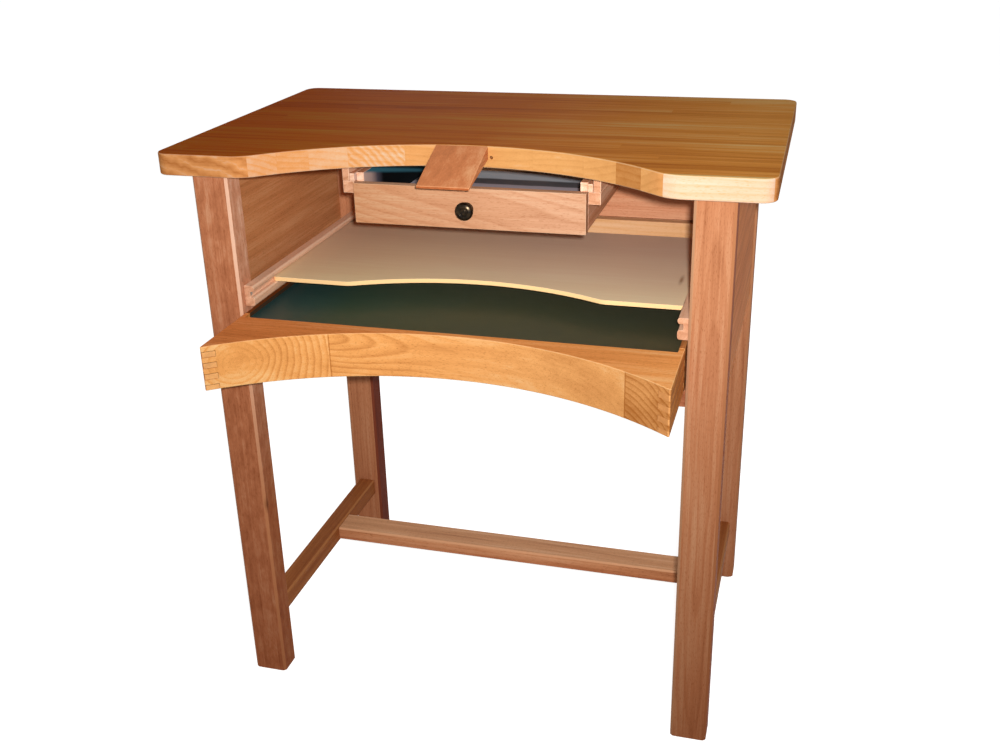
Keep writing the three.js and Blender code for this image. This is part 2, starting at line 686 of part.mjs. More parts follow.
function traySide(side) {
  const x = [side * (trayHalf - TRAY_SIDE_THICKNESS), side * trayHalf];
  const board = block(x, [trayFrontBack + SEAT_GAP, trayRear], [trayBottom, trayTop]);
  const fingers = trayFingers(side).map((finger) => common(finger, trayFrontBlank()));
  const bridges = trayFingers(side).map((finger) => common(finger, traySideBridge(x)));
  return cut(join(board, ...fingers, ...bridges), trayBack(SEAT_GAP), sheetPocket());
}

// The stretch where a side's fingers leave the front board and run into the side.
function traySideBridge(x) {
  return block(x, [trayFrontBack - CUT_PAST, trayFrontBack + CUT_PAST], [trayBottom, trayTop]);
}

// Back board of the tray, or its housing in the sides with a gap.
function trayBack(gap = 0) {
  const half = trayHalf - TRAY_SIDE_THICKNESS + TRAY_BACK_HOUSING + gap;
  const y = [trayRear - TRAY_LIP - TRAY_BACK_THICKNESS - gap, trayRear - TRAY_LIP + gap];
  return block([-half, half], y, [trayBottom - gap, pocketFloor + gap]);
}

function traySheet() {
  const half = trayHalf - TRAY_LIP - SEAT_GAP;
  const y = [trayFrontBack - TRAY_FRONT_REBATE + SEAT_GAP, trayRear - TRAY_LIP - SEAT_GAP];
  return block([-half, half], y, [sheetTop - SHEET_THICKNESS, sheetTop]);
}

function drawerSpacer(side) {
  const x = [side * spacerInner, side * spacerOuter];
  const strip = block(x, [spacerFront, stopBack], [ledgeTop + SEAT_GAP, underside - SEAT_GAP]);
  return cut(strip, ...Object.values(ledgeScrews(side)).map(screwBore));
}

function drawerLedge(side) {
  const x = [side * (drawerHalf + DRAWER_SIDE_PLAY), side * spacerOuter];
  const strip = block(x, [spacerFront, stopBack], [ledgeBottom, ledgeTop]);
  return cut(strip, ...Object.values(ledgeScrews(side)).map(screwBore));
}

function drawerStop() {
  const half = spacerInner - SEAT_GAP;
  const top = underside - SEAT_GAP;
  return block([-half, half], [stopFront, stopBack], [top - DRAWER_STOP_HEIGHT, top]);
}

// Bottom sheet of the drawer, or the groove for it with a gap.
function drawerBottomBody(gap = 0) {
  const half = drawerSideInner + DRAWER_GROOVE_DEPTH - SEAT_GAP + gap;
  const y = [drawerFrontBack - DRAWER_GROOVE_DEPTH + SEAT_GAP - gap, drawerRear + gap];
  return block([-half, half], y, [drawerGrooveFloor + SEAT_GAP - gap, drawerGrooveTop - SEAT_GAP + gap]);
}

function knobScrewBody(gap = 0) {
  const headRadius = KNOB_SCREW_HEAD_DIAMETER / 2 + gap;
  const radius = KNOB_SCREW_DIAMETER / 2 + gap;
  const headFace = KNOB_SCREW_HEAD_HEIGHT;
  const end = headFace + SEAT_GAP + DRAWER_FRONT_THICKNESS + KNOB_SCREW_BITE + gap;
  const head = [[0, 0], [headRadius, 0], [headRadius, headFace]];
  const profile = [...head, [radius, headFace], [radius, end], [0, end]];
  const start = [0, drawerFrontBack + SEAT_GAP + KNOB_SCREW_HEAD_HEIGHT, knobHeight];
  return turned(profile, start, [0, -1, 0]);
}

function drawerFrontBoard() {
  const board = block([-drawerHalf, drawerHalf], [drawerFront, drawerFrontBack], [drawerBottom, drawerTop]);
  return cut(board, drawerBottomBody(SEAT_GAP), knobScrewBody(SEAT_GAP));
}

function drawerSide(side) {
  const x = [side * drawerSideInner, side * drawerHalf];
  const z = [drawerBottom + DRAWER_SIDE_LIFT, drawerSideTop];
  return cut(block(x, [drawerFrontBack + SEAT_GAP, drawerRear], z), drawerBottomBody(SEAT_GAP));
}

function drawerBack() {
  const half = drawerSideInner - SEAT_GAP;
  const y = [drawerRear - DRAWER_BACK_THICKNESS, drawerRear];
  return block([-half, half], y, [drawerGrooveTop, underside - DRAWER_BACK_DROP]);
}

function drawerCleat(side) {
  const x = [side * cleatInner, side * cleatOuter];
  return block(x, [drawerFront + CLEAT_SETBACK, drawerRear], [cleatBottom, drawerSideTop]);
}

// Mushroom knob: a foot, a waisted neck and a domed head.
function knob() {
  const rim = KNOB_DIAMETER / 2;
  const neck = KNOB_NECK_DIAMETER / 2;
  const foot = KNOB_FOOT_DIAMETER / 2;
  const under = KNOB_LENGTH - KNOB_HEAD_HEIGHT;
  const profile = [
    [0, 0],
    [foot, 0],
    [foot, KNOB_FOOT_HEIGHT],
    [neck, KNOB_FOOT_HEIGHT + KNOB_FOOT_FLARE],
    [neck, under - KNOB_HEAD_FLARE],
    [rim - KNOB_RIM_EASE, under],
    [rim, under + KNOB_RIM_HEIGHT / 2],
    [rim - KNOB_RIM_EASE, under + KNOB_RIM_HEIGHT],
    [foot, KNOB_LENGTH - KNOB_CROWN_HEIGHT],
    [0, KNOB_LENGTH],
  ];
  const at = [0, drawerFront - SEAT_GAP, knobHeight];
  return cut(turned(profile, at, [0, -1, 0], KNOB_SIDES), knobScrewBody(SEAT_GAP));
}

// Tang of the bench pin, or its mortise with a gap.
function tang(gap = 0) {
  const half = TANG_WIDTH / 2 + gap;
  const top = BENCH_HEIGHT - TANG_DROP;
  const y = [cutoutBack - TANG_LEAD, cutoutBack + TANG_LENGTH + gap];
  return block([PIN_OFFSET - half, PIN_OFFSET + half], y, [top - TANG_THICKNESS - gap, top + gap]);
}

// Bench pin: a wedge that slopes down to the sitter, its root following the cut-out, with a tang.
function benchPin() {
  const tip = cutoutBack - PIN_LENGTH;
  const tipTop = BENCH_HEIGHT - PIN_DROP;
  const root = cutoutBack + CUT_PAST;
  const wedge = acrossX(
    [
      new THREE.Vector2(tip, tipTop - PIN_TIP_THICKNESS),
      new THREE.Vector2(root, BENCH_HEIGHT - PIN_ROOT_THICKNESS),
      new THREE.Vector2(root, BENCH_HEIGHT),
      new THREE.Vector2(tip, tipTop),
    ],
    [PIN_OFFSET - PIN_WIDTH / 2, PIN_OFFSET + PIN_WIDTH / 2],
  );
  const radius = arcRadius(CUTOUT_WIDTH, CUTOUT_DEPTH);
  const reach = PIN_WIDTH / 2 + Math.abs(PIN_OFFSET) + CUT_PAST;
  const lean = Math.acos(reach / radius);
  const centre = { x: 0, y: cutoutBack - radius };
  const seatOutline = [
    ...arc(centre, radius - SEAT_GAP, lean, Math.PI - lean, ARC_STEPS),
    new THREE.Vector2(-reach, tip - CUT_PAST),
    new THREE.Vector2(reach, tip - CUT_PAST),
  ];
  const seat = raised(seatOutline, [tipTop - PIN_TIP_THICKNESS - CUT_PAST, BENCH_HEIGHT + CUT_PAST]);
  return join(common(wedge, seat), pinTang());
}

// The tang begins inside the wedge, below its sloping face.
function pinTang() {
  const slope = PIN_DROP / (PIN_LENGTH + CUT_PAST);
  const start = cutoutBack - (TANG_DROP / slope) / 2;
  const room = block([-TOP_WIDTH, TOP_WIDTH], [start, back], [0, BENCH_HEIGHT]);
  return common(tang(), room);
}

const colours = {
  top: 0xa9682f,
  leg: 0xb97757,
  panel: 0xb0734b,
  rail: 0xd49a62,
  runner: 0xcf9772,
  shelf: 0xb59c80,
  tray: 0xdd9f5c,
  drawer: 0xd9a37b,
  pin: 0xbd7548,
  dowel: 0xd9b98a,
};

function woodFinish(colour) {
  return new THREE.MeshStandardMaterial({ color: colour, roughness: 0.55, metalness: 0 });
}

function metalFinish(colour, roughness) {
  return new THREE.MeshStandardMaterial({ color: colour, roughness, metalness: 1 });
}

function add(group, name, geometry, material) {
  const mesh = new THREE.Mesh(geometry, material);
  mesh.name = name;
  group.add(mesh);
}

// The standing frame: worktop, legs, panels, stretchers and every fixed runner.
const frame = new THREE.Group();
add(frame, "worktop", worktop(), woodFinish(colours.top));
add(frame, "back_panel", backPanel(), woodFinish(colours.panel));
add(frame, "rear_rail", rearRail(), woodFinish(colours.rail));
add(frame, "cross_stretcher", crossStretcherBody(), woodFinish(colours.leg));
add(frame, "drawer_stop", drawerStop(), woodFinish(colours.runner));
for (const [name, side] of Object.entries(sides)) {
  for (const [end, place] of Object.entries({ front: frontLeg, rear: rearLeg })) {
    add(frame, `leg_${end}_${name}`, leg(side, place), woodFinish(colours.leg));
    add(frame, `leg_dowel_${end}_${name}`, legDowel(side, place), woodFinish(colours.dowel));
  }
  const stretcher = cut(sideStretcherBody(side), crossStretcherBody(SEAT_GAP));
  add(frame, `side_panel_${name}`, sidePanelBody(side), woodFinish(colours.panel));
  add(frame, `side_stretcher_${name}`, stretcher, woodFinish(colours.leg));
  add(frame, `shelf_runner_${name}`, shelfRunner(side), woodFinish(colours.runner));
  add(frame, `tray_runner_${name}`, trayRunner(side), woodFinish(colours.runner));
  add(frame, `tray_stop_${name}`, trayStop(side), woodFinish(colours.runner));
  add(frame, `drawer_spacer_${name}`, drawerSpacer(side), woodFinish(colours.runner));
  add(frame, `drawer_ledge_${name}`, drawerLedge(side), woodFinish(colours.runner));
  const screwSets = {
    shelf_runner: shelfRunnerScrews(side),
    tray_runner: trayRunnerScrews(side),
    drawer_ledge: ledgeScrews(side),
  };
  for (const [holder, set] of Object.entries(screwSets)) {
    for (const [end, place] of Object.entries(set)) {
      add(frame, `${holder}_screw_${name}_${end}`, screw(place), metalFinish(0xb9b4a6, 0.4));
    }
  }
}

// The shelf is drawn pushed in and stands a little out.
const shelfGroup = new THREE.Group();
shelfGroup.position.y = -SHELF_PULLED_OUT;
add(shelfGroup, "shelf", shelf(), woodFinish(colours.shelf));

// The catch tray is drawn shut and stands part way out.
const tray = new THREE.Group();
tray.position.y = -TRAY_PULLED_OUT;
add(tray, "tray_front", trayFront(), woodFinish(colours.tray));
add(tray, "tray_back", trayBack(), woodFinish(colours.tray));
add(tray, "tray_sheet", traySheet(), metalFinish(0x39423a, 0.45));

// The drawer is drawn shut and stands a little out.
const drawer = new THREE.Group();
drawer.position.y = -DRAWER_PULLED_OUT;
add(drawer, "drawer_front", drawerFrontBoard(), woodFinish(colours.drawer));
add(drawer, "drawer_back", drawerBack(), woodFinish(colours.drawer));
add(drawer, "drawer_bottom", drawerBottomBody(), metalFinish(0x8c97a0, 0.4));
add(drawer, "drawer_knob", knob(), metalFinish(0x3a2c1c, 0.35));
add(drawer, "knob_screw", knobScrewBody(), metalFinish(0xb9b4a6, 0.4));
for (const [name, side] of Object.entries(sides)) {
  add(tray, `tray_side_${name}`, traySide(side), woodFinish(colours.tray));
  add(drawer, `drawer_side_${name}`, drawerSide(side), woodFinish(colours.drawer));
  add(drawer, `drawer_cleat_${name}`, drawerCleat(side), woodFinish(colours.drawer));
}

const pin = new THREE.Group();
add(pin, "bench_pin", benchPin(), woodFinish(colours.pin));

// The part's origin is on the floor, under the middle of everything as it stands.
const bench = new THREE.Group();
bench.position.y = -(trayCorner - TRAY_PULLED_OUT + back) / 2;
bench.add(frame, shelfGroup, tray, drawer, pin);

const root = new THREE.Group();
root.add(bench);

export default root;
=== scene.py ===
"""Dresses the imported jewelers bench: eased boards, finger joints, a turned knob and procedural finishes.

Every board is a numpy surface. Its plan is a ring of arcs, and a rounded edge profile is carried round
that ring. Joints that show are cut with numpy tools. Lengths are metres in the row frame.
"""

import json
import logging
from dataclasses import dataclass, replace
from enum import Enum
from functools import cached_property
from typing import ClassVar, Optional, Sequence, Union

import bpy
import numpy as np
from mathutils import Matrix, Vector

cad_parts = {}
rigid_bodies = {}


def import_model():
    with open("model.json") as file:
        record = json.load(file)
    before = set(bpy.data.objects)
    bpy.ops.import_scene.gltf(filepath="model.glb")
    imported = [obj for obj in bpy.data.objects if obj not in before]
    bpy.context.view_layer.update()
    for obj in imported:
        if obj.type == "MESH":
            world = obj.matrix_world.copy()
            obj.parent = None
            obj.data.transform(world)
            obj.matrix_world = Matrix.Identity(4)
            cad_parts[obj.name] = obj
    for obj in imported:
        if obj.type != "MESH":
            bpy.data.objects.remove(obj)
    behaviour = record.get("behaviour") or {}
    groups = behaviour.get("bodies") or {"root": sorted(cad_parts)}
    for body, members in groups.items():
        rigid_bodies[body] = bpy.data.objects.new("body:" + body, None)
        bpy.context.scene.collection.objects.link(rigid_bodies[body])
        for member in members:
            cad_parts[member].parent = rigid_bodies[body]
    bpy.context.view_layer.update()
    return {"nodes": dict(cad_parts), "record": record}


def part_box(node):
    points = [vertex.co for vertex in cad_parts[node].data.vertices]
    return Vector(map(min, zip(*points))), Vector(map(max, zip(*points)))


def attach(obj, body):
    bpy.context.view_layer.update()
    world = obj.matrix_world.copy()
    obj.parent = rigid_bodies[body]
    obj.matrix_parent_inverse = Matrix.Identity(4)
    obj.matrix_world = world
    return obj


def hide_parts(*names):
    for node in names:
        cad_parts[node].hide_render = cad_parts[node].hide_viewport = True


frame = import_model()

LOG = logging.getLogger("bench")
QUARTER = np.pi / 2
ARC_STEPS = 40
RIM_SHARE = 0.98  # a rim's rounding over its corners' rounding, so that no ring shrinks to a point
SMOOTH_ANGLE = np.radians(38.0)
OVERSHOOT = 0.01  # how far a tool reaches past the board that it cuts
TOOL_EDGE = 0.0001
FACING = ((0.35, 0.0), (0.6, 1.0))  # ramp over one part of the normal: 1 on faces that look that way

Output = bpy.types.NodeSocket
Socket = Union[Output, float, Sequence[float]]
Triple = tuple[float, float, float]
Surface = tuple[np.ndarray, list[list[int]]]


class Axis(Enum):
    """Direction in which a plan is raised, as the order that turns (u, v, height) into (x, y, z)."""

    X = (2, 0, 1)
    Y = (1, 2, 0)
    Z = (0, 1, 2)


class Grain(Enum):
    """Direction of the fibres, as the order that turns (x, y, z) into (along, across, through)."""

    X = (0, 1, 2)
    Y = (1, 0, 2)
    Z = (2, 0, 1)


class Side(Enum):
    """Side of the bench, seen by the sitter."""

    LEFT = "left"
    RIGHT = "right"


class Cut(Enum):
    """What a joint tool does to a board."""

    AWAY = "DIFFERENCE"
    KEEP = "INTERSECT"
    JOIN = "UNION"


class EdgeLight(Enum):
    """Which edges of a board are paler, from wear and a painted highlight: all of them, or only the rims of
    its two broad faces.
    """

    ALL = "all"
    RIM = "rim"


# Surfaces


@dataclass(frozen=True)
class Outline:
    """Closed plan of arcs joined by straight lines, counter-clockwise.

    An arc that turns left bulges and one that turns right is hollow, so an inset keeps every centre,
    shortens the radii of the first kind and lengthens those of the second.
    """

    centres: np.ndarray
    radii: np.ndarray
    starts: np.ndarray
    ends: np.ndarray
    steps: int = 4

    def ring(self, inset: float = 0.0) -> np.ndarray:
        """Points centre + (radius - turn * inset) * (cos a, sin a), with a running from start to end.

        Args:
            inset: distance inwards from the outline.

        Returns:
            Points of the closed ring, one row of (u, v) each.
        """
        share = np.linspace(0.0, 1.0, self.steps + 1)
        angles = self.starts[:, None] + (self.ends - self.starts)[:, None] * share
        radii = self.radii - np.sign(self.ends - self.starts) * inset
        spokes = np.stack([np.cos(angles), np.sin(angles)], axis=-1)
        return (self.centres[:, None] + radii[:, None, None] * spokes).reshape(-1, 2)


def rectangle(low: Sequence[float], high: Sequence[float], radius: float) -> Outline:
    """Rectangle whose corners are quarter circles, each centred one radius in from both sides.

    Args:
        low: lowest corner (u, v).
        high: highest corner (u, v).
        radius: corner radius.

    Returns:
        The outline, from its upper right corner on.
    """
    (u0, v0), (u1, v1) = np.add(low, radius), np.subtract(high, radius)
    starts = np.arange(4) * QUARTER
    centres = np.array([[u1, v1], [u0, v1], [u0, v0], [u1, v0]])
    return Outline(centres, np.full(4, radius), starts, starts + QUARTER)


def chamfered(low: Sequence[float], high: Sequence[float], chamfer: float, radius: float) -> Outline:
    """Rectangle with chamfered corners: eight arcs of 45 degrees, centred on the octagon one radius in.

    Args:
        low: lowest corner (u, v).
        high: highest corner (u, v).
        chamfer: length cut off each side at a corner.
        radius: rounding of the chamfers' edges.

    Returns:
        The outline, from the lower right chamfer on.
    """
    (u0, v0), (u1, v1) = np.add(low, radius), np.subtract(high, radius)
    c = chamfer - (2.0 - np.sqrt(2.0)) * radius
    centres = [[u1 - c, v0], [u1, v0 + c], [u1, v1 - c], [u1 - c, v1]]
    centres += [[u0 + c, v1], [u0, v1 - c], [u0, v0 + c], [u0 + c, v0]]
    starts = (np.arange(8) - 2) * QUARTER / 2
    return Outline(np.array(centres), np.full(8, radius), starts, starts + QUARTER / 2, steps=2)


def arc_radius(width: float, depth: float) -> float:
    """Radius of the arc that spans a width at a depth: (width^2 / 4 + depth^2) / (2 depth)."""
    return (width**2 / 4 + depth**2) / (2 * depth)


def hollow_front(
    low: np.ndarray, high: np.ndarray, width: float, depth: float, shoulder: float, corner: float
) -> Outline:
    """Plan of a board whose front has a hollow with rounded shoulders.

    The hollow is an arc of radius R about a point R in front of its deepest point. Each shoulder is an arc
    that touches the straight front and the hollow, so its centre is R plus its own radius from the hollow's.

    Args:
        low: lowest corner of the board.
        high: highest corner.
        width: width of the hollow where its arc meets the front line.
        depth: depth of the hollow.
        shoulder: radius of the shoulders.
        corner: radius of the corners.

    Returns:
        The outline, from the front left corner on.
    """
    radius = arc_radius(width, depth)
    hollow = low[1] + depth - radius
    shoulder_y = low[1] + shoulder
    shoulder_x = np.sqrt((radius + shoulder) ** 2 - (shoulder_y - hollow) ** 2)
    lean = np.arctan2(shoulder_y - hollow, shoulder_x)
    left, right, front, back = low[0] + corner, high[0] - corner, low[1] + corner, high[1] - corner
    centres = [[left, front], [-shoulder_x, shoulder_y], [0.0, hollow], [shoulder_x, shoulder_y]]
    centres += [[right, front], [right, back], [left, back]]
    radii = np.array([corner, shoulder, radius, shoulder, corner, corner, corner])
    q = QUARTER
    starts = np.array([2 * q, 3 * q, 2 * q - lean, 2 * q + lean, 3 * q, 0.0, q])
    ends = np.array([3 * q, 4 * q - lean, lean, 3 * q, 4 * q, q, 2 * q])
    return Outline(np.array(centres), radii, starts, ends, ARC_STEPS)


def skin(rings: np.ndarray) -> Surface:
    """Quads between each ring and the next, with the first and last rings closed by one face each.

    Args:
        rings: array (rows, points, 3); points run counter-clockwise seen from the last ring.

    Returns:
        Vertices and faces, facing outwards.
    """
    rows, count = rings.shape[:2]
    index = np.arange(rows * count).reshape(rows, count)
    turned_on = np.roll(index, -1, axis=1)
    quads = np.stack([index[:-1], turned_on[:-1], turned_on[1:], index[1:]], axis=-1).reshape(-1, 4)
    return rings.reshape(-1, 3), quads.tolist() + [index[0, ::-1].tolist(), index[-1].tolist()]


def stacked(plans: np.ndarray, heights: np.ndarray, axis: Axis = Axis.Z) -> Surface:
    """Skin over plans that lie one above another, with (u, v, height) put in the axis's order.

    Args:
        plans: array (rows, points, 2).
        heights: one height for each row, or one for each point of each row.
        axis: direction of the heights.

    Returns:
        The closed surface.
    """
    level = np.broadcast_to(heights.reshape(len(plans), -1, 1), plans.shape[:2] + (1,))
    return skin(np.concatenate([plans, level], axis=-1)[..., list(axis.value)])


def edge_profile(low: float, high: float, edge: float, steps: int = 3) -> tuple[np.ndarray, np.ndarray]:
    """Side of a board from below: a quarter round, a straight and a quarter round.

    On the lower quarter, inset = edge (1 - sin a) and height = low + edge (1 - cos a); the upper mirrors it.

    Args:
        low: lowest height.
        high: highest height.
        edge: radius of both quarter rounds.
        steps: parts in each quarter round.

    Returns:
        Insets and heights, one pair for each row.
    """
    a = np.linspace(0.0, QUARTER, steps + 1)
    inset, rise = edge * (1.0 - np.sin(a)), edge * (1.0 - np.cos(a))
    return np.concatenate([inset, inset[::-1]]), np.concatenate([low + rise, high - rise[::-1]])


def raise_plan(outline: Outline, low: float, high: float, edge: float, axis: Axis = Axis.Z) -> Surface:
    """Board: the edge profile carried round an outline, so row i is the outline inset by the profile's i.

    Args:
        outline: plan across the axis.
        low: where the board begins along the axis.
        high: where it ends.
        edge: rounding of its two rims.
        axis: direction in which the plan is raised.

    Returns:
        The closed surface.
    """
    insets, heights = edge_profile(low, high, edge)
    return stacked(np.stack([outline.ring(inset) for inset in insets]), heights, axis)


def board(low: Sequence[float], high: Sequence[float], edge: float, axis: Axis = Axis.Z) -> Surface:
    """Rectangular board with every edge rounded.

    Args:
        low: lowest corner (x, y, z).
        high: highest corner (x, y, z).
        edge: radius of the rounding.
        axis: direction in which its plan is raised.

    Returns:
        The closed surface.
    """
    place = [axis.value.index(k) for k in range(3)]
    a, b = np.asarray(low)[place], np.asarray(high)[place]
    return raise_plan(rectangle(a[:2], b[:2], edge), a[2], b[2], edge * RIM_SHARE, axis)


def turned(
    radii: np.ndarray, heights: np.ndarray, centre: Sequence[float], sides: int, axis: Axis
) -> Surface:
    """Turned form: a circle of the profile's radius at each height, P = centre + r (cos a, sin a) + h.

    Args:
        radii: radius of each row.
        heights: place of each row along the axis, rising.
        centre: (u, v) of the axis.
        sides: points round.
        axis: direction of the axis.

    Returns:
        The closed surface.
    """
    a = np.linspace(0.0, 4 * QUARTER, sides, endpoint=False)
    plans = np.asarray(centre) + radii[:, None, None] * np.stack([np.cos(a), np.sin(a)], axis=-1)
    return stacked(plans, heights, axis)


def for_side(side: Side, surface: Surface) -> Surface:
    """Turns a surface made for the right side over for the left: x changes sign and faces run the other way.

    Args:
        side: side that it is for.
        surface: the surface for the right side.

    Returns:
        The surface for that side.
    """
    if side is Side.RIGHT:
        return surface
    vertices, faces = surface
    return vertices * np.array([-1.0, 1.0, 1.0]), [face[::-1] for face in faces]


def mesh_of(name: str, surface: Surface) -> bpy.types.Mesh:
    """Puts a surface into a new mesh.

    Args:
        name: name of the mesh.
        surface: its vertices and faces.

    Returns:
        The mesh.
    """
    mesh = bpy.data.meshes.new(name)
    mesh.from_pydata(surface[0].tolist(), [], surface[1])
    return mesh


def worked(name: str, blank: Surface, steps: Sequence[tuple[Cut, Surface]]) -> bpy.types.Mesh:
    """Cuts, keeps or joins surfaces in turn, as joints are worked into a board.

    Args:
        name: name of the mesh.
        blank: the board before its joints.
        steps: tools, each with what it does.

    Returns:
        The worked mesh.
    """
    scene = bpy.context.scene.collection.objects
    base = bpy.data.objects.new(name + "_blank", mesh_of(name + "_blank", blank))
    tools = [bpy.data.objects.new(name + "_tool", mesh_of(name + "_tool", tool)) for _, tool in steps]
    for piece in (base, *tools):
        scene.link(piece)
    for (action, _), tool in zip(steps, tools):
        modifier = base.modifiers.new("joint", "BOOLEAN")
        modifier.operation = action.value
        modifier.solver = "EXACT"
        modifier.object = tool
    graph = bpy.context.evaluated_depsgraph_get()
    mesh = bpy.data.meshes.new_from_object(base.evaluated_get(graph))
    mesh.name = name
    for piece in (base, *tools):
        data = piece.data
        bpy.data.objects.remove(piece)
        bpy.data.meshes.remove(data)
    return mesh


# Finishes


def linear(colour: int) -> tuple[float, float, float, float]:
    """Turns an sRGB number into linear RGBA: c / 12.92 in the darkest part, ((c + 0.055) / 1.055)^2.4 above.

    Args:
        colour: red, green and blue in one number, such as 0xD9A37B.

    Returns:
        The linear colour, with an alpha of 1.
    """
    c = np.array([colour >> 16 & 255, colour >> 8 & 255, colour & 255]) / 255.0
    rgb = np.where(c <= 0.04045, c / 12.92, ((c + 0.055) / 1.055) ** 2.4)
    return (*rgb.tolist(), 1.0)


class Recipe:
    """Lays out the nodes of one material or world."""

    def __init__(self, owner: Union[bpy.types.Material, bpy.types.World]) -> None:
        """Starts with no nodes.

        Args:
            owner: new material or world.
        """
        owner.use_nodes = True
        self.owner = owner
        self.nodes = owner.node_tree.nodes
        self.links = owner.node_tree.links
        self.nodes.clear()

    @cached_property
    def place(self) -> Output:
        """Object coordinates, which stay with the piece."""
        return self.nodes.new("ShaderNodeTexCoord").outputs["Object"]

    def feed(self, socket: Output, value: Socket) -> None:
        """Links a socket to an output, or sets its own value.

        Args:
            socket: input of a node.
            value: output of another node, or a fixed value.
        """
        if isinstance(value, Output):
            self.links.new(value, socket)
        else:
            socket.default_value = value

    def math(self, operation: str, *values: Socket, clamp: bool = False) -> Output:
        """Adds a Math node.

        Args:
            operation: the node's operation.
            values: its inputs in order.
            clamp: whether the result stays between 0 and 1.

        Returns:
            Its output.
        """
        node = self.nodes.new("ShaderNodeMath")
        node.operation = operation
        node.use_clamp = clamp
        for socket, value in zip(node.inputs, values):
            self.feed(socket, value)
        return node.outputs[0]

    def vector(self, operation: str, first: Socket, second: Socket = (0.0, 0.0, 0.0)) -> bpy.types.Node:
        """Adds a Vector Math node.

        Args:
            operation: the node's operation.
            first: first vector.
            second: second vector, for operations that have one.

        Returns:
            The node, which holds a vector and a value.
        """
        node = self.nodes.new("ShaderNodeVectorMath")
        node.operation = operation
        self.feed(node.inputs[0], first)
        self.feed(node.inputs[1], second)
        return node

    def split(self, vector: Socket) -> list[Output]:
        """Splits a vector.

        Args:
            vector: the vector.

        Returns:
            Its three parts.
        """
        node = self.nodes.new("ShaderNodeSeparateXYZ")
        self.feed(node.inputs[0], vector)
        return list(node.outputs)

    def sway(self, value: Socket, strength: Socket, base: Socket, middle: float = 0.5) -> Output:
        """Returns base + strength * (value - middle)."""
        return self.math("MULTIPLY_ADD", self.math("SUBTRACT", value, middle), strength, base)

    def between(self, share: Socket, first: Socket, second: Socket) -> Output:
        """Returns a number that runs from the first to the second as the share runs from 0 to 1."""
        return self.math("MULTIPLY_ADD", share, self.math("SUBTRACT", second, first), first)

    def fade(self, share: Socket, rest: float) -> Output:
        """Returns a factor that falls from 1 to the rest as the share runs from 0 to 1."""
        return self.math("MULTIPLY_ADD", share, rest - 1.0, 1.0)

    def half(self, side: Side, across: Socket) -> Output:
        """Returns 1 where a place from left to right lies on that side of zero, and 0 elsewhere."""
        return self.math("GREATER_THAN" if side is Side.RIGHT else "LESS_THAN", across, 0.0)

    def combine(self, *parts: Socket) -> Output:
        """Makes a vector.

        Args:
            parts: its three parts.

        Returns:
            The vector.
        """
        node = self.nodes.new("ShaderNodeCombineXYZ")
        for socket, part in zip(node.inputs, parts):
            self.feed(socket, part)
        return node.outputs[0]

    def noise(self, vector: Socket, scale: Sequence[float], detail: float = 2.0) -> Output:
        """Adds cloudy noise.

        Args:
            vector: where it is read.
            scale: repeats per metre in each direction.
            detail: number of finer layers.

        Returns:
            A value around 0.5.
        """
        node = self.nodes.new("ShaderNodeTexNoise")
        self.feed(node.inputs["Vector"], self.vector("MULTIPLY", vector, scale).outputs[0])
        node.inputs["Scale"].default_value = 1.0
        node.inputs["Detail"].default_value = detail
        node.inputs["Roughness"].default_value = 0.6
        return node.outputs[0]

    def chance(self, first: Socket, second: Socket) -> Output:
        """Draws a number that is fixed for each pair of whole numbers.

        Args:
            first: first whole number.
            second: second whole number.

        Returns:
            A number from 0 to 1.
        """
        node = self.nodes.new("ShaderNodeTexWhiteNoise")
        node.noise_dimensions = "2D"
        self.feed(node.inputs["Vector"], self.combine(first, second, 0.0))
        return node.outputs["Value"]

    def ramp(self, value: Socket, stops: Sequence[tuple[float, Socket]]) -> Output:
        """Adds a ramp of greys or colours.

        Args:
            value: where it is read, from 0 to 1.
            stops: places, each with its grey value or RGBA colour.

        Returns:
            The grey value or colour.
        """
        node = self.nodes.new("ShaderNodeValToRGB")
        self.feed(node.inputs[0], value)
        marks = node.color_ramp.elements
        while len(marks) < len(stops):
            marks.new(0.5)
        for mark, (at, tint) in zip(marks, stops):
            mark.position = at
            mark.color = tint if isinstance(tint, tuple) else (tint, tint, tint, 1.0)
        return node.outputs["Color"]

    def mix(self, share: Socket, first: Socket, second: Socket, blend: str = "MIX") -> Output:
        """Adds a colour mix.

        Args:
            share: share of the second colour.
            first: first colour.
            second: second colour.
            blend: how they mix.

        Returns:
            The mixed colour.
        """
        node = self.nodes.new("ShaderNodeMix")
        node.data_type = "RGBA"
        node.blend_type = blend
        self.feed(node.inputs[0], share)
        self.feed(node.inputs[6], first)
        self.feed(node.inputs[7], second)
        return node.outputs[2]

    def away(self, vector: Socket, point: Sequence[float]) -> Output:
        """Returns how far a place is from a point."""
        return self.vector("LENGTH", self.vector("SUBTRACT", vector, point).outputs[0]).outputs["Value"]

    def spot(self, middle: Sequence[float], radii: Sequence[float], strength: float) -> Output:
        """Adds a soft oval spot.

        Args:
            middle: its middle.
            radii: how far it reaches in x, y and z.
            strength: its strength in the middle.

        Returns:
            The strength, which falls to nothing at the spot's rim.
        """
        offset = self.vector("SUBTRACT", self.place, middle).outputs[0]
        near = self.vector("LENGTH", self.vector("DIVIDE", offset, radii).outputs[0]).outputs["Value"]
        return self.ramp(near, [(0.2, strength), (0.5, strength / 2), (1.0, 0.0)])

    def normal(self) -> list[Output]:
        """Returns the three parts of the surface normal."""
        return self.split(self.nodes.new("ShaderNodeNewGeometry").outputs["Normal"])

    def facing(self) -> list[Output]:
        """Returns the sizes of the surface normal's three parts."""
        return [self.math("ABSOLUTE", part) for part in self.normal()]

    def front(self) -> Output:
        """Returns 1 on faces that look forwards or back and 0 on the others."""
        return self.ramp(self.facing()[1], FACING)

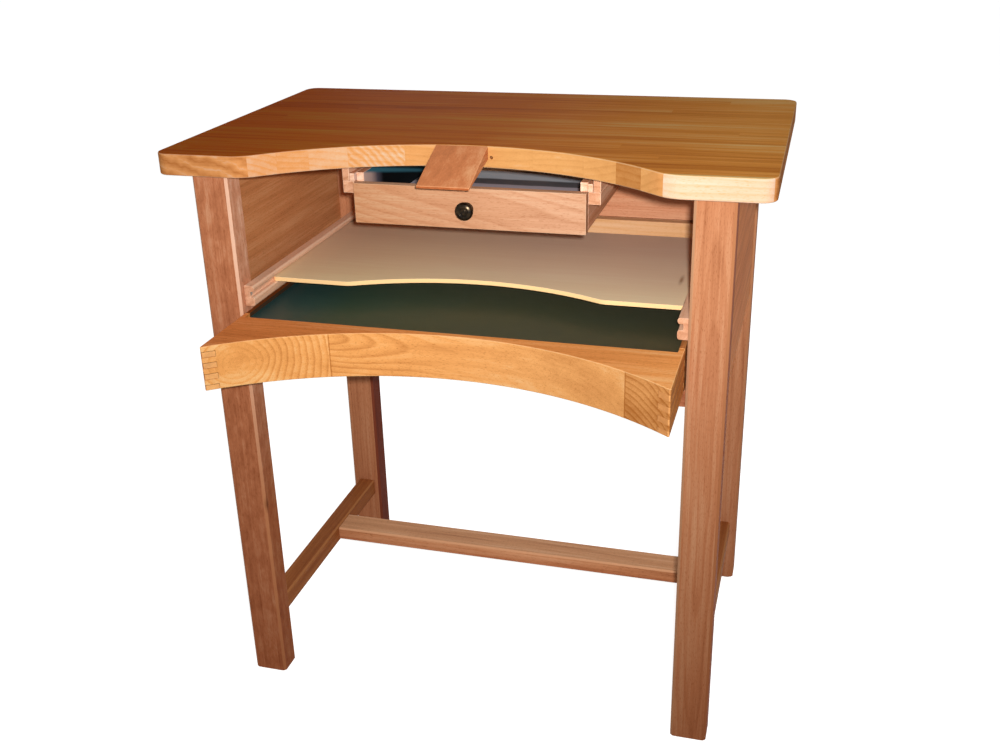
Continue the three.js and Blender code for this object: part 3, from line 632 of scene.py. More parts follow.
    def seen(self) -> Output:
        """Finds the rays that show the surroundings: seen, mirrored or passed through.

        Returns:
            1 for those rays and 0 for the others.
        """
        path = self.nodes.new("ShaderNodeLightPath").outputs
        bounced = self.math("MAXIMUM", path["Is Glossy Ray"], path["Is Transmission Ray"])
        return self.math("MAXIMUM", path["Is Camera Ray"], bounced)

    def edges(self, kind: EdgeLight) -> Output:
        """Finds rounded edges from the normal.

        Args:
            kind: every edge, or only the rims of the broad faces.

        Returns:
            1 where the normal leans halfway between two directions, 0 on a flat face.
        """
        x, y, z = self.facing()
        if kind is EdgeLight.ALL:
            lean = self.math("SUBTRACT", 1.0, self.math("MAXIMUM", x, self.math("MAXIMUM", y, z)))
            return self.math("MULTIPLY", lean, 4.0, clamp=True)
        square = self.math("MULTIPLY", z, z)
        return self.math("MULTIPLY", square, self.math("MULTIPLY", self.math("SUBTRACT", 1.0, square), 4.0))

    def finish(
        self, colour: Socket, roughness: Socket, height: Socket, depth: float, **fixed: float
    ) -> bpy.types.Material:
        """Joins the layers in a Principled shader.

        Args:
            colour: base colour.
            roughness: roughness.
            height: bump height, around 0 to 1.
            depth: how far a height of 1 stands up, in metres.
            fixed: further sockets of the shader, with spaces written as underlines, that hold one value.

        Returns:
            The material.
        """
        shader = self.nodes.new("ShaderNodeBsdfPrincipled")
        bump = self.nodes.new("ShaderNodeBump")
        bump.inputs["Strength"].default_value = 1.0
        bump.inputs["Distance"].default_value = depth
        self.feed(bump.inputs["Height"], height)
        self.feed(shader.inputs["Base Color"], colour)
        self.feed(shader.inputs["Roughness"], roughness)
        self.feed(shader.inputs["Normal"], bump.outputs[0])
        for socket, value in fixed.items():
            shader.inputs[socket.replace("_", " ")].default_value = value
        output = self.nodes.new("ShaderNodeOutputMaterial")
        self.feed(output.inputs["Surface"], shader.outputs[0])
        return self.owner


@dataclass(frozen=True)
class Stave:
    """Strip of a staved board, counted from the front, whose tone was read off the real one.

    Its stripes, if it has any, are their number per metre along the board and through it, and their depth.
    """

    strip: int
    side: Side
    tone: float
    stripes: Optional[Triple] = None


@dataclass(frozen=True)
class Staves:
    """Narrow strips glued side by side, each of blocks with a tone of their own."""

    width: float
    block: float
    start: float
    tone: float
    known: tuple[Stave, ...] = ()


@dataclass(frozen=True)
class EndBlock:
    """Block glued to the end of a board with its fibres running to the front, so rings show on its face."""

    joint: float
    side: Side
    pith: tuple[float, float]
    shade: float
    quiet: float = 0.02


@dataclass(frozen=True)
class PaintedSideLight:
    """Painted light and shade: gains of red, green and blue on the right-hand faces of boards on one half of
    the bench.
    """

    side: Side
    upper: Triple
    lower: Optional[Triple] = None
    heights: ClassVar[tuple[float, float]] = (0.35, 0.75)

    def over(self, r: Recipe, colour: Socket) -> Output:
        """Paints light and shade on those faces: multiplies their colour by a gain that runs with the height.

        Args:
            r: recipe that is laid out.
            colour: colour so far.

        Returns:
            The toned colour.
        """
        x, _, z = r.split(r.place)
        share = r.math("MULTIPLY", r.ramp(r.normal()[0], FACING), r.half(self.side, x))
        ends = zip(self.heights, (self.lower or self.upper, self.upper))
        gain = r.ramp(z, [(height, (*gains, 1.0)) for height, gains in ends])
        return r.mix(share, colour, gain, "MULTIPLY")


@dataclass(frozen=True)
class PaintedLightBands:
    """Bands of painted light, shade and reflection across a piece: a colour at each place along one
    direction, given in metres.
    """

    direction: Grain
    stops: tuple[tuple[float, int], ...]
    ragged: ClassVar[float] = 0.012
    ragged_scale: ClassVar[Triple] = (9.0, 9.0, 9.0)

    def colour(self, r: Recipe) -> Output:
        """Reads the painted bands at a place that slow noise makes slightly ragged.

        Args:
            r: recipe that is laid out.

        Returns:
            The band's colour.
        """
        first, last = self.stops[0][0], self.stops[-1][0]
        place = r.math("SUBTRACT", r.split(r.place)[self.direction.value[0]], first)
        place = r.sway(r.noise(r.place, self.ragged_scale, 3.0), self.ragged, place)
        share = r.math("DIVIDE", place, last - first)
        return r.ramp(share, [((at - first) / (last - first), linear(tint)) for at, tint in self.stops])


@dataclass(frozen=True)
class PaintedInnerShade:
    """Painted shade on the faces that look inwards, with a painted bluish reflection above a sloping line."""

    painted_bands: PaintedLightBands
    painted_reflection: int
    line: float
    slope: float
    inwards: ClassVar[float] = -0.9
    reflection_rise: ClassVar[float] = 250.0

    def over(self, r: Recipe, colour: Socket) -> Output:
        """Paints shade on the faces whose normal points to the middle of the bench, and the reflection above
        the line.

        Args:
            r: recipe that is laid out.
            colour: colour so far.

        Returns:
            The painted colour.
        """
        x, y, z = r.split(r.place)
        outwards = r.math("MULTIPLY", r.normal()[0], r.math("SIGN", x))
        inner = r.math("LESS_THAN", outwards, self.inwards)
        rise = r.math("SUBTRACT", r.math("MULTIPLY_ADD", y, self.slope, z), self.line)
        painted_reflection = r.math("MULTIPLY", rise, self.reflection_rise, clamp=True)
        return r.mix(inner, colour, r.mix(painted_reflection, self.painted_bands.colour(r), linear(self.painted_reflection)))


@dataclass(frozen=True)
class Finish:
    """Finish of a piece: the name of its material and the slot that it stands for."""

    name: str
    slot: str

    def material(self) -> bpy.types.Material:
        """Returns the finish's material, made on first use."""
        return bpy.data.materials.get(self.name) or self.made()

    def made(self) -> bpy.types.Material:
        """Lays out the material, in each kind of finish its own way."""
        raise NotImplementedError


@dataclass(frozen=True)
class Wood(Finish):
    """Oiled beech: growth rings round a pith, streaks, fine fibres, short flecks and slow changes of tone.

    A scale is a number of repeats per metre along, across and through the fibres.
    """

    pale: int
    body: int
    dark: int
    grain: Grain
    pith: tuple[float, float] = (0.12, -0.09)
    tilt: float = 0.02
    ring: float = 0.011
    rings: float = 0.2
    fibres: float = 0.55
    streaks: float = 0.8
    front_streaks: float = 1.0
    flecks: float = 0.3
    mottle: float = 0.0
    tone: float = 0.9
    edge: float = 0.5
    edges: EdgeLight = EdgeLight.ALL
    # painted shade on the faces that look up, stronger or weaker from left to right
    painted_top_shade: Optional[tuple[int, int, int]] = None
    # painted shade, darker towards the floor
    painted_floor_shade: Optional[int] = None
    # painted light and shade on right-hand faces
    painted_side_light: tuple[PaintedSideLight, ...] = ()
    roughness: float = 0.6
    specular: float = 0.03
    staves: Optional[Staves] = None
    end_blocks: tuple[EndBlock, ...] = ()
    knots: tuple[Triple, ...] = ()
    calm: Optional[tuple[float, float]] = None
    end_tone: float = 0.35
    painted_inner_shade: Optional[PaintedInnerShade] = None
    # painted shadow in a gap: one dark colour above a height
    painted_gap_shadow: Optional[tuple[float, int]] = None
    # painted shade on the faces that look forwards or back
    shade: Optional[PaintedLightBands] = None

    tone_scale: ClassVar[Triple] = (1.3, 13.0, 13.0)
    fibre_scale: ClassVar[Triple] = (9.0, 420.0, 420.0)
    streak_scale: ClassVar[Triple] = (2.6, 85.0, 85.0)
    fleck_scale: ClassVar[Triple] = (150.0, 1300.0, 1300.0)
    mottle_scale: ClassVar[Triple] = (35.0, 80.0, 80.0)
    wander_scale: ClassVar[Triple] = (2.2, 10.0, 10.0)
    stripe_scale: ClassVar[Triple] = (34.0, 34.0, 34.0)
    body_depth: ClassVar[float] = 0.45
    mean_ring: ClassVar[float] = 0.35
    wander: ClassVar[float] = 3.2
    stripe_wander: ClassVar[float] = 1.3
    calm_rest: ClassVar[float] = 0.2
    glue_width: ClassVar[float] = 0.022
    glue_depth: ClassVar[float] = 0.16
    glue_front: ClassVar[float] = 0.2
    block_line: ClassVar[float] = 0.0009
    block_line_depth: ClassVar[float] = 0.4
    strip_shift: ClassVar[tuple[float, float]] = (0.9, 0.07)
    tint_width: ClassVar[float] = 0.8
    knot_length: ClassVar[float] = 0.019
    knot_width: ClassVar[float] = 0.0065
    knot_tint: ClassVar[tuple[float, ...]] = (0.3, 0.2, 0.14, 1.0)
    relief: ClassVar[float] = 0.00006

    def made(self) -> bpy.types.Material:
        """Lays out depth of colour, painted light and shade, pale edges and gloss.

        Returns:
            The material.
        """
        r = Recipe(bpy.data.materials.new(self.name))
        parts = r.split(r.place)
        along, across, through = (parts[k] for k in self.grain.value)
        slow = r.noise(r.combine(along, across, through), self.tone_scale, 3.0)
        tone = r.sway(slow, self.tone, self.body_depth)
        if self.staves:
            across, through, stave_tone = self._stave(r, along, across, through)
            tone = r.math("ADD", tone, stave_tone)
        cut = r.combine(along, across, through)
        fibre = r.noise(cut, self.fibre_scale, 4.0)
        streak = r.noise(cut, self.streak_scale, 3.0)
        fleck = r.ramp(r.noise(cut, self.fleck_scale, 1.0), [(0.6, 0.0), (0.68, 1.0)])
        ring, joint = self._rings(r, parts, (along, across, through), cut)
        depth = r.sway(ring, self.rings, r.math("ADD", tone, joint), self.mean_ring)
        lines = r.sway(streak, self.streaks, r.sway(fibre, self.fibres, 0.0))
        if self.front_streaks < 1.0:
            lines = r.math("MULTIPLY", lines, r.fade(r.front(), self.front_streaks))
        depth = r.math("ADD", depth, lines)
        if self.mottle:
            depth = r.sway(r.noise(cut, self.mottle_scale, 2.0), self.mottle, depth)
        depth = r.math("MULTIPLY_ADD", fleck, self.flecks, depth)
        depth = r.math("MULTIPLY_ADD", self._end_grain(r), self.end_tone, depth, clamp=True)
        shades = zip((0.0, self.body_depth, 1.0), (self.pale, self.body, self.dark))
        colour = r.ramp(depth, [(at, linear(tint)) for at, tint in shades])
        # pale edges: partly wear, partly a painted highlight along the arris
        wear_and_highlight = r.math("MULTIPLY", r.edges(self.edges), self.edge)
        colour = r.mix(wear_and_highlight, colour, linear(self.pale))
        colour = self._with_painted_light(r, colour, parts[2])
        # painted shade on the faces that look forwards or back
        if self.shade:
            colour = r.mix(r.front(), colour, self.shade.colour(r), "MULTIPLY")
        # painted shade on the inward faces, with a painted reflection above a line
        if self.painted_inner_shade:
            colour = self.painted_inner_shade.over(r, colour)
        for knot in self.knots:
            reach = [self.knot_width if k else self.knot_length for k in np.argsort(self.grain.value)]
            colour = r.mix(r.spot(knot, reach, 0.8), colour, self.knot_tint, "MULTIPLY")
        height = r.math("SUBTRACT", r.math("MULTIPLY_ADD", ring, 0.3, fibre), fleck)
        rough = r.sway(fibre, 0.2, self.roughness)
        return r.finish(colour, rough, height, self.relief, Specular_IOR_Level=self.specular)

    def _end_grain(self, r: Recipe) -> Output:
        """Returns 1 on faces that cut across the fibres and 0 on the others."""
        return r.ramp(r.facing()[self.grain.value[0]], [(0.8, 0.0), (0.97, 1.0)])

    def _with_painted_light(self, r: Recipe, colour: Socket, height: Socket) -> Socket:
        """Paints light and shade on the face that looks up from left to right, near the floor and on the
        right-hand faces, and a shadow in a gap above a height.

        Args:
            r: recipe that is laid out.
            colour: colour so far.
            height: height above the floor.

        Returns:
            The tinted colour.
        """
        # painted shade on the faces that look up
        if self.painted_top_shade is not None:
            upward = r.ramp(r.normal()[2], [(0.45, 0.0), (0.92, 1.0)])
            share = r.math("MULTIPLY_ADD", r.split(r.place)[0], 1.0 / self.tint_width, 0.5)
            stops = [(k / 2, linear(tint)) for k, tint in enumerate(self.painted_top_shade)]
            colour = r.mix(upward, colour, r.ramp(share, stops), "MULTIPLY")
        # painted shade, darker towards the floor
        if self.painted_floor_shade is not None:
            low = r.ramp(height, [(0.0, 1.0), (0.5, 0.5), (0.8, 0.0)])
            colour = r.mix(low, colour, linear(self.painted_floor_shade), "MULTIPLY")
        # painted light and shade on right-hand faces
        for side_light in self.painted_side_light:
            colour = side_light.over(r, colour)
        # painted shadow in the gap above the height
        if self.painted_gap_shadow is not None:
            above = r.math("GREATER_THAN", height, self.painted_gap_shadow[0])
            colour = r.mix(above, colour, linear(self.painted_gap_shadow[1]))
        return colour

    def _stave(
        self, r: Recipe, along: Socket, across: Socket, through: Socket
    ) -> tuple[Socket, Socket, Socket]:
        """Gives each strip and block its own cut of wood, and a glue line between strips.

        Args:
            r: recipe that is laid out.
            along: place along the fibres.
            across: place across them.
            through: place through the board.

        Returns:
            Shifted places across and through, and the tone of the block.
        """
        count = r.math("DIVIDE", r.math("SUBTRACT", across, self.staves.start), self.staves.width)
        strip = r.math("FLOOR", count)
        shift = r.chance(strip, 7.0)
        block = r.math("MULTIPLY_ADD", shift, 3.0, r.math("DIVIDE", along, self.staves.block))
        chance = r.chance(strip, r.math("FLOOR", block))
        tone = r.sway(chance, self.staves.tone, 0.0)
        for stave in self.staves.known:
            here = r.math("COMPARE", strip, float(stave.strip), 0.1)
            here = r.math("MULTIPLY", here, r.half(stave.side, along))
            tone = r.math("MULTIPLY_ADD", here, stave.tone, tone)
            if stave.stripes:
                lengthwise, upright, stripe_depth = stave.stripes
                phase = r.math("MULTIPLY_ADD", through, upright, r.math("MULTIPLY", along, lengthwise))
                bend = r.noise(r.place, self.stripe_scale, 2.0)
                phase = r.math("FRACT", r.math("MULTIPLY_ADD", bend, self.stripe_wander, phase))
                stripe = r.ramp(phase, [(0.0, 0.0), (0.55, stripe_depth), (1.0, 0.0)])
                tone = r.math("MULTIPLY_ADD", r.math("MULTIPLY", here, r.front()), stripe, tone)
        glue = r.math("LESS_THAN", r.math("FRACT", count), self.glue_width)
        glue = r.math("MULTIPLY", glue, r.fade(r.front(), self.glue_front))
        tone = r.math("MULTIPLY_ADD", glue, self.glue_depth, tone)
        moved = r.math("MULTIPLY_ADD", chance, self.strip_shift[0], across)
        return moved, r.math("MULTIPLY_ADD", shift, self.strip_shift[1], through), tone

    def _rings(
        self, r: Recipe, parts: Sequence[Socket], fibres: Sequence[Socket], cut: Socket
    ) -> tuple[Socket, Socket]:
        """Growth rings: the distance from a slightly tilted pith, bent by slow noise, over a ring's width.

        Args:
            r: recipe that is laid out.
            parts: x, y and z.
            fibres: place along, across and through.
            cut: the same place as a vector.

        Returns:
            1 in late wood and 0 in early wood, and the shade that end blocks and their glue lines add.
        """
        along, across, through = fibres
        leaning = r.math("MULTIPLY_ADD", along, self.tilt, through)
        distance = r.away(r.combine(across, leaning, 0.0), (*self.pith, 0.0))
        shade: Socket = 0.0
        strength: Socket = 1.0
        if self.calm:
            begin, end = self.calm
            calm = r.math("DIVIDE", r.math("SUBTRACT", along, begin), end - begin, clamp=True)
            strength = r.fade(calm, self.calm_rest)
        if self.end_blocks:
            front = r.front()
            strength = r.math("MULTIPLY", strength, r.math("MULTIPLY_ADD", front, 0.75, 0.25))
        for block in self.end_blocks:
            over = r.math("SUBTRACT", parts[0], block.joint)
            inside = r.math("MULTIPLY", r.half(block.side, over), front)
            own = r.away(r.combine(parts[0], parts[2], 0.0), (*block.pith, 0.0))
            distance = r.between(inside, distance, own)
            plain = r.ramp(r.math("DIVIDE", own, block.quiet), [(0.45, 0.25), (1.0, 1.0)])
            strength = r.between(inside, strength, plain)
            line = r.math("LESS_THAN", r.math("ABSOLUTE", over), self.block_line)
            shade = r.math("MULTIPLY_ADD", inside, block.shade, shade)
            shade = r.math("MULTIPLY_ADD", r.math("MULTIPLY", line, front), self.block_line_depth, shade)
        bend = r.noise(cut, self.wander_scale, 2.0)
        phase = r.math("MULTIPLY_ADD", bend, self.wander, r.math("DIVIDE", distance, self.ring))
        ring = r.ramp(r.math("FRACT", phase), [(0.0, 0.0), (0.5, 0.2), (0.84, 1.0), (1.0, 0.0)])
        return r.sway(ring, strength, self.mean_ring, self.mean_ring), shade


@dataclass(frozen=True)
class Plywood(Finish):
    """Birch plywood: a cloudy face veneer under varnish, and a pale edge with its plies in lines."""

    face: int
    face_dark: int
    rim: int
    ply: float
    # painted shade: bands multiplied over the veneer
    shades: tuple[PaintedLightBands, ...]
    knots: tuple[Triple, ...] = ()

    cloud_scale: ClassVar[Triple] = (2.0, 9.0, 9.0)
    fibre_scale: ClassVar[Triple] = (7.0, 260.0, 260.0)
    knot_reach: ClassVar[Triple] = (0.005, 0.03, 0.005)
    knot_tint: ClassVar[tuple[float, ...]] = (0.42, 0.3, 0.22, 1.0)
    relief: ClassVar[float] = 0.00003

    def made(self) -> bpy.types.Material:
        """Lays out veneer with painted shade, plies and a small knot.

        Returns:
            The material.
        """
        r = Recipe(bpy.data.materials.new(self.name))
        cloud = r.noise(r.place, self.cloud_scale, 3.0)
        fibre = r.noise(r.place, self.fibre_scale, 4.0)
        depth = r.math("MULTIPLY_ADD", cloud, 0.8, r.math("MULTIPLY", fibre, 0.6))
        depth = r.math("SUBTRACT", depth, 0.3, clamp=True)
        veneer = r.mix(depth, linear(self.face), linear(self.face_dark))
        # painted shade over the veneer
        for shade in self.shades:
            veneer = r.mix(1.0, veneer, shade.colour(r), "MULTIPLY")
        layer = r.math("FRACT", r.math("DIVIDE", r.split(r.place)[2], self.ply))
        lines = r.ramp(layer, [(0.0, 0.35), (0.12, 0.0), (0.5, 0.0), (0.56, 0.18), (0.95, 0.22)])
        rim = r.mix(r.math("MULTIPLY_ADD", fibre, 0.2, lines), linear(self.rim), linear(self.face_dark))
        level = r.ramp(r.facing()[2], [(0.4, 0.0), (0.8, 1.0)])
        colour = r.mix(level, rim, veneer)
        for knot in self.knots:
            colour = r.mix(r.spot(knot, self.knot_reach, 0.8), colour, self.knot_tint, "MULTIPLY")
        rough = r.math("MULTIPLY_ADD", fibre, 0.12, 0.33)
        return r.finish(colour, rough, fibre, self.relief, Specular_IOR_Level=0.06)


@dataclass(frozen=True)
class Metal(Finish):
    """Metal with cloudy tarnish and fine brushed lines along x."""

    colour: int
    tarnish: int
    metallic: float
    roughness: float
    grain: float = 900.0
    tarnish_scale: float = 14.0
    # painted shadow and reflection in bands
    painted_bands: Optional[PaintedLightBands] = None

    brush_length: ClassVar[float] = 25.0
    band_share: ClassVar[float] = 0.75
    relief: ClassVar[float] = 0.00002

    def made(self) -> bpy.types.Material:
        """Lays out tarnish, painted bands of shadow and reflection, brushed lines and roughness.

        Returns:
            The material.
        """
        r = Recipe(bpy.data.materials.new(self.name))
        cloud = r.noise(r.place, (self.tarnish_scale,) * 3, 4.0)
        brushed = r.noise(r.place, (self.grain / self.brush_length, self.grain, self.grain), 2.0)
        patch = r.ramp(cloud, [(0.35, 0.0), (0.65, 1.0)])
        colour = r.mix(patch, linear(self.colour), linear(self.tarnish))
        # painted shadow and reflection in bands
        if self.painted_bands:
            colour = r.mix(self.band_share, colour, self.painted_bands.colour(r))
        rough = r.math("MULTIPLY_ADD", r.math("ADD", patch, brushed), 0.09, self.roughness - 0.08)
        return r.finish(colour, rough, brushed, self.relief, Metallic=self.metallic)


# Worktop: painted shade on the face that looks up, heaviest at the left end, and on its front, taking red out
# towards the right end.
TOP_WOOD = Wood(
    "worktop_beech", "top_wood", 0xDCC2AA, 0xDC965A, 0xB26B34, Grain.X,
    ring=0.009, rings=0.12, tone=0.7, streaks=1.0, front_streaks=0.3, flecks=0.15,
    edges=EdgeLight.RIM, edge=0.35, painted_top_shade=(0xC4872D, 0xD2A444, 0xFCF5BC), specular=0.004,
    shade=PaintedLightBands(
        Grain.X,
        ((-0.3, 0xFFFFFF), (-0.1, 0xF6FFFF), (0.05, 0xEFFFFF), (0.28, 0xF0FFFF), (0.34, 0xFFFFFF)),
    ),
    staves=Staves(
        0.0274, 1.3, -0.2399, 0.34,
        (
            Stave(0, Side.LEFT, 0.06, (14.5, 49.5, 0.5)), Stave(0, Side.RIGHT, -0.36),
            Stave(1, Side.LEFT, -0.25), Stave(1, Side.RIGHT, -0.08),
            Stave(2, Side.LEFT, -0.06), Stave(2, Side.RIGHT, 0.42),
            Stave(3, Side.LEFT, -0.14), Stave(3, Side.RIGHT, -0.06),
            Stave(4, Side.LEFT, -0.14, (95.0, 76.0, 0.25)), Stave(4, Side.RIGHT, 0.1),
        ),
    ),
)
# Front legs: painted shade darkens them towards the floor and takes red out towards the right; their
# right-hand faces carry painted light high on the left leg and painted shade elsewhere.
FRONT_LEG_WOOD = Wood(
    "front_leg_beech", "leg_wood", 0xD8A07B, 0xC07A54, 0x92502F, Grain.Z,
    pith=(0.379, -0.182), tilt=0.05, ring=0.009, rings=0.15, streaks=0.55, edge=0.75, painted_floor_shade=0xD6C4B8,
    painted_side_light=(
        PaintedSideLight(Side.LEFT, (1.27, 1.6, 2.0), (0.92, 0.82, 0.7)),
        PaintedSideLight(Side.RIGHT, (0.86, 0.64, 0.5), (0.8, 0.58, 0.44)),
    ),
    shade=PaintedLightBands(Grain.X, ((-0.3, 0xFFFFFF), (0.3, 0xF3FEFF))),
    knots=((-0.345, -0.2, 0.3475),),
)
LEFT_LEG_WOOD = replace(FRONT_LEG_WOOD, name="left_leg_beech", rings=0.1, mottle=0.9)
# Rear legs: painted shade towards the floor, and painted shade on their right-hand faces, heavy on the left
# leg.
REAR_LEG_WOOD = Wood(
    "rear_leg_beech", "leg_wood", 0xE4B38D, 0xCC8C64, 0x9B5B3A, Grain.Z,
    pith=(0.2, 0.02), rings=0.14, edge=0.75, painted_floor_shade=0xD6C6BD,
    painted_side_light=(PaintedSideLight(Side.LEFT, (0.36, 0.17, 0.15)), PaintedSideLight(Side.RIGHT, (0.85, 0.68, 0.56))),
)
STRETCHER_WOOD = Wood(
    "stretcher_beech", "leg_wood", 0xC28453, 0xA26034, 0x7A3E1E, Grain.Y, pith=(0.3, 0.02), rings=0.12,
)
# Foot rest: painted shade on its front, darker towards its lower edge.
FOOT_REST_WOOD = Wood(
    "foot_rest_beech", "leg_wood", 0xF8CAA3, 0xDA9F74, 0xA26643, Grain.X,
    pith=(0.02, 0.0), rings=0.12, edge=0.6,
    shade=PaintedLightBands(Grain.Z, ((0.1025, 0xD7B3A2), (0.114, 0xE6CFC2), (0.1285, 0xF4E4D9))),
)
# Side panels: painted light on the right panel's outer face.
SIDE_PANEL_WOOD = Wood(
    "side_panel_beech", "panel_wood", 0xE4AC7C, 0xCE8B59, 0x9C5C34, Grain.Y,
    pith=(0.3, 0.78), ring=0.016, rings=0.12, painted_side_light=(PaintedSideLight(Side.RIGHT, (1.3, 1.0, 0.75)),),
)
BACK_PANEL_WOOD = Wood(
    "back_panel_beech", "panel_wood", 0xDAA682, 0xCB8965, 0xA2613F, Grain.X,
    pith=(0.2, 0.78), ring=0.016, rings=0.12,
)
# Rear rail: its top and lip above the height are painted dark as the shadow in the gap under the back panel.
RAIL_WOOD = Wood("rail_beech", "rail_wood", 0xE3B790, 0xDAA471, 0xB77E4C, Grain.X, painted_gap_shadow=(0.7268, 0x7A4630))
RUNNER_WOOD = Wood("runner_beech", "runner_wood", 0xF8D3B4, 0xE9B592, 0xBD8360, Grain.Y, edge=0.7)
# A darker copy of the runner wood, as painted shade on the tray runners and stops.
SHADED_RUNNER_WOOD = Wood("shaded_runner_beech", "runner_wood", 0xC98E6C, 0xB0704E, 0x85492F, Grain.Y)
STOP_WOOD = replace(RUNNER_WOOD, name="stop_beech", grain=Grain.X)
# Shelf: painted shade over the veneer, darker towards the rear and the middle, lighter at the left.
SHELF_WOOD = Plywood(
    "shelf_plywood", "shelf_wood", 0xFFEEC4, 0xF2D0A3, 0xFFD090, 0.0028,
    (
        PaintedLightBands(Grain.Y, ((-0.1, 0xFFFFFF), (0.0, 0xF2EAF0), (0.15, 0xE2D2DC))),
        PaintedLightBands(Grain.X, ((-0.33, 0xFFFFFA), (-0.2, 0xFAFAF4), (0.05, 0xF0EEF0), (0.33, 0xFBFCFF))),
    ),
    ((0.309, 0.004, 0.7218),),
)
# Tray front: painted shade on the face that looks up, heaviest at the left, and on its front faces, growing
# to the right.
TRAY_FRONT_WOOD = Wood(
    "tray_front_beech", "tray_wood", 0xF9CE92, 0xEA9F59, 0xB3682C, Grain.X,
    pith=(-0.262, 0.657), tilt=0.16, ring=0.0085, rings=0.3, front_streaks=0.5,
    edge=0.4, edges=EdgeLight.RIM, painted_top_shade=(0xF2D6D2, 0xF6E6DE, 0xFFFFFF), calm=(-0.12, 0.02),
    shade=PaintedLightBands(Grain.X, ((-0.34, 0xFAFFFF), (-0.1, 0xF4F8FB), (0.16, 0xE7F1FF), (0.34, 0xE4ECF8))),
    end_blocks=(
        EndBlock(-0.178, Side.LEFT, (-0.302, 0.66), -0.08, 0.045),
        EndBlock(0.274, Side.RIGHT, (0.262, 0.585), 0.34),
    ),
)
# Tray's left side: painted shadow on its top and its inward face, under the shelf runner.
TRAY_LEFT_WOOD = Wood(
    "tray_left_beech", "tray_wood", 0xF2BE80, 0xE0954F, 0xA0552A, Grain.Y,
    ring=0.012, rings=0.1, end_tone=0.3, painted_top_shade=(0x8F7160, 0x8F7160, 0x8F7160),
    painted_inner_shade=PaintedInnerShade(PaintedLightBands(Grain.Y, ((-0.3, 0x4A3626), (0.2, 0x33261C))), 0x33261C, 2.0, 0.0),
)
# A darker copy of the tray's side wood, as painted shade on the right side board.
TRAY_RIGHT_SHADED_WOOD = Wood(
    "tray_right_shaded_beech", "tray_wood", 0xDDA062, 0xB87440, 0x8C4F27, Grain.Y,
    ring=0.012, rings=0.1, end_tone=-0.4,
)
TRAY_BACK_WOOD = Wood("tray_back_beech", "tray_wood", 0xF2BE80, 0xE39D56, 0xA9622B, Grain.X)
# Drawer: painted shade on its front, heavier towards the left.
DRAWER_WOOD = Wood(
    "drawer_beech", "drawer_wood", 0xD1B193, 0xC39271, 0xA26C4A, Grain.X,
    pith=(-0.155, 0.862), tilt=0.22, ring=0.010, rings=0.22, edge=0.75,
    shade=PaintedLightBands(Grain.X, ((-0.18, 0xFAECDA), (0.0, 0xFDF5EC), (0.15, 0xFFFFFF))),
)
# Drawer sides: painted shade on their inward faces, pale at the front and black further in, with a painted
# bluish reflection above a sloping line.
DRAWER_SIDE_WOOD = Wood(
    "drawer_side_beech", "drawer_wood", 0xF0CBB0, 0xD69872, 0xB2704A, Grain.Y, edge=0.7, end_tone=-0.4,
    painted_inner_shade=PaintedInnerShade(
        PaintedLightBands(
            Grain.Y,
            ((-0.13, 0xE3C2B0), (-0.07, 0xC9A9A0), (-0.045, 0x5A5560), (-0.02, 0x121416), (0.25, 0x1C2326)),
        ),
        0x3F7484, 0.872, 0.235,
    ),
)
PIN_WOOD = Wood(
    "pin_beech", "pin_wood", 0xD99C6E, 0xBE6C3E, 0x904A26, Grain.Y,
    pith=(0.05, 0.7), ring=0.02, rings=0.1, edge=0.75,
)
DOWEL_WOOD = Wood("dowel_beech", "dowel_wood", 0xEBD3AB, 0xDDBE90, 0xB99568, Grain.Z)
# Tray sheet: painted bluish reflection towards its left end.
TRAY_METAL = Metal(
    "tray_sheet_steel", "tray_metal", 0x4B4F38, 0x3B4A43, 0.15, 0.4, 500.0, 5.0,
    PaintedLightBands(
        Grain.X,
        ((-0.33, 0x1C4A4C), (-0.26, 0x2C4F48), (-0.2, 0x38503C), (0.0, 0x45492F), (0.33, 0x393B28)),
    ),
)
# Drawer bottom: a painted black band of shadow, with a painted pale bluish reflection behind it.
DRAWER_METAL = Metal(
    "drawer_sheet_steel", "drawer_metal", 0xD4CDD4, 0xB5B4BB, 0.05, 0.36,
    painted_bands=PaintedLightBands(
        Grain.Y,
        (
            (0.08, 0xE6D6DE), (0.117, 0xDCCCD6), (0.123, 0x1A1B1E),
            (0.152, 0x15181C), (0.16, 0xE4EEF6), (0.215, 0xF0F8FF),
        ),
    ),
)
KNOB_METAL = Metal("knob_bronze", "knob_metal", 0x3A2C1A, 0x0D0906, 0.8, 0.32, 600.0, 160.0)
SCREW_METAL = Metal("screw_zinc", "screw_steel", 0xD9CFC0, 0xB5AEA2, 0.4, 0.42, 900.0, 300.0)


# Pieces


def body_of_node(node: str) -> str:
    """Returns the body that a CAD node rides on."""
    return next(body for body, nodes in frame["record"]["behaviour"]["bodies"].items() if node in nodes)


def corners(node: str) -> tuple[np.ndarray, np.ndarray]:
    """Returns the lowest and highest corner of a CAD node as arrays."""
    low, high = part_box(node)
    return np.array(low), np.array(high)


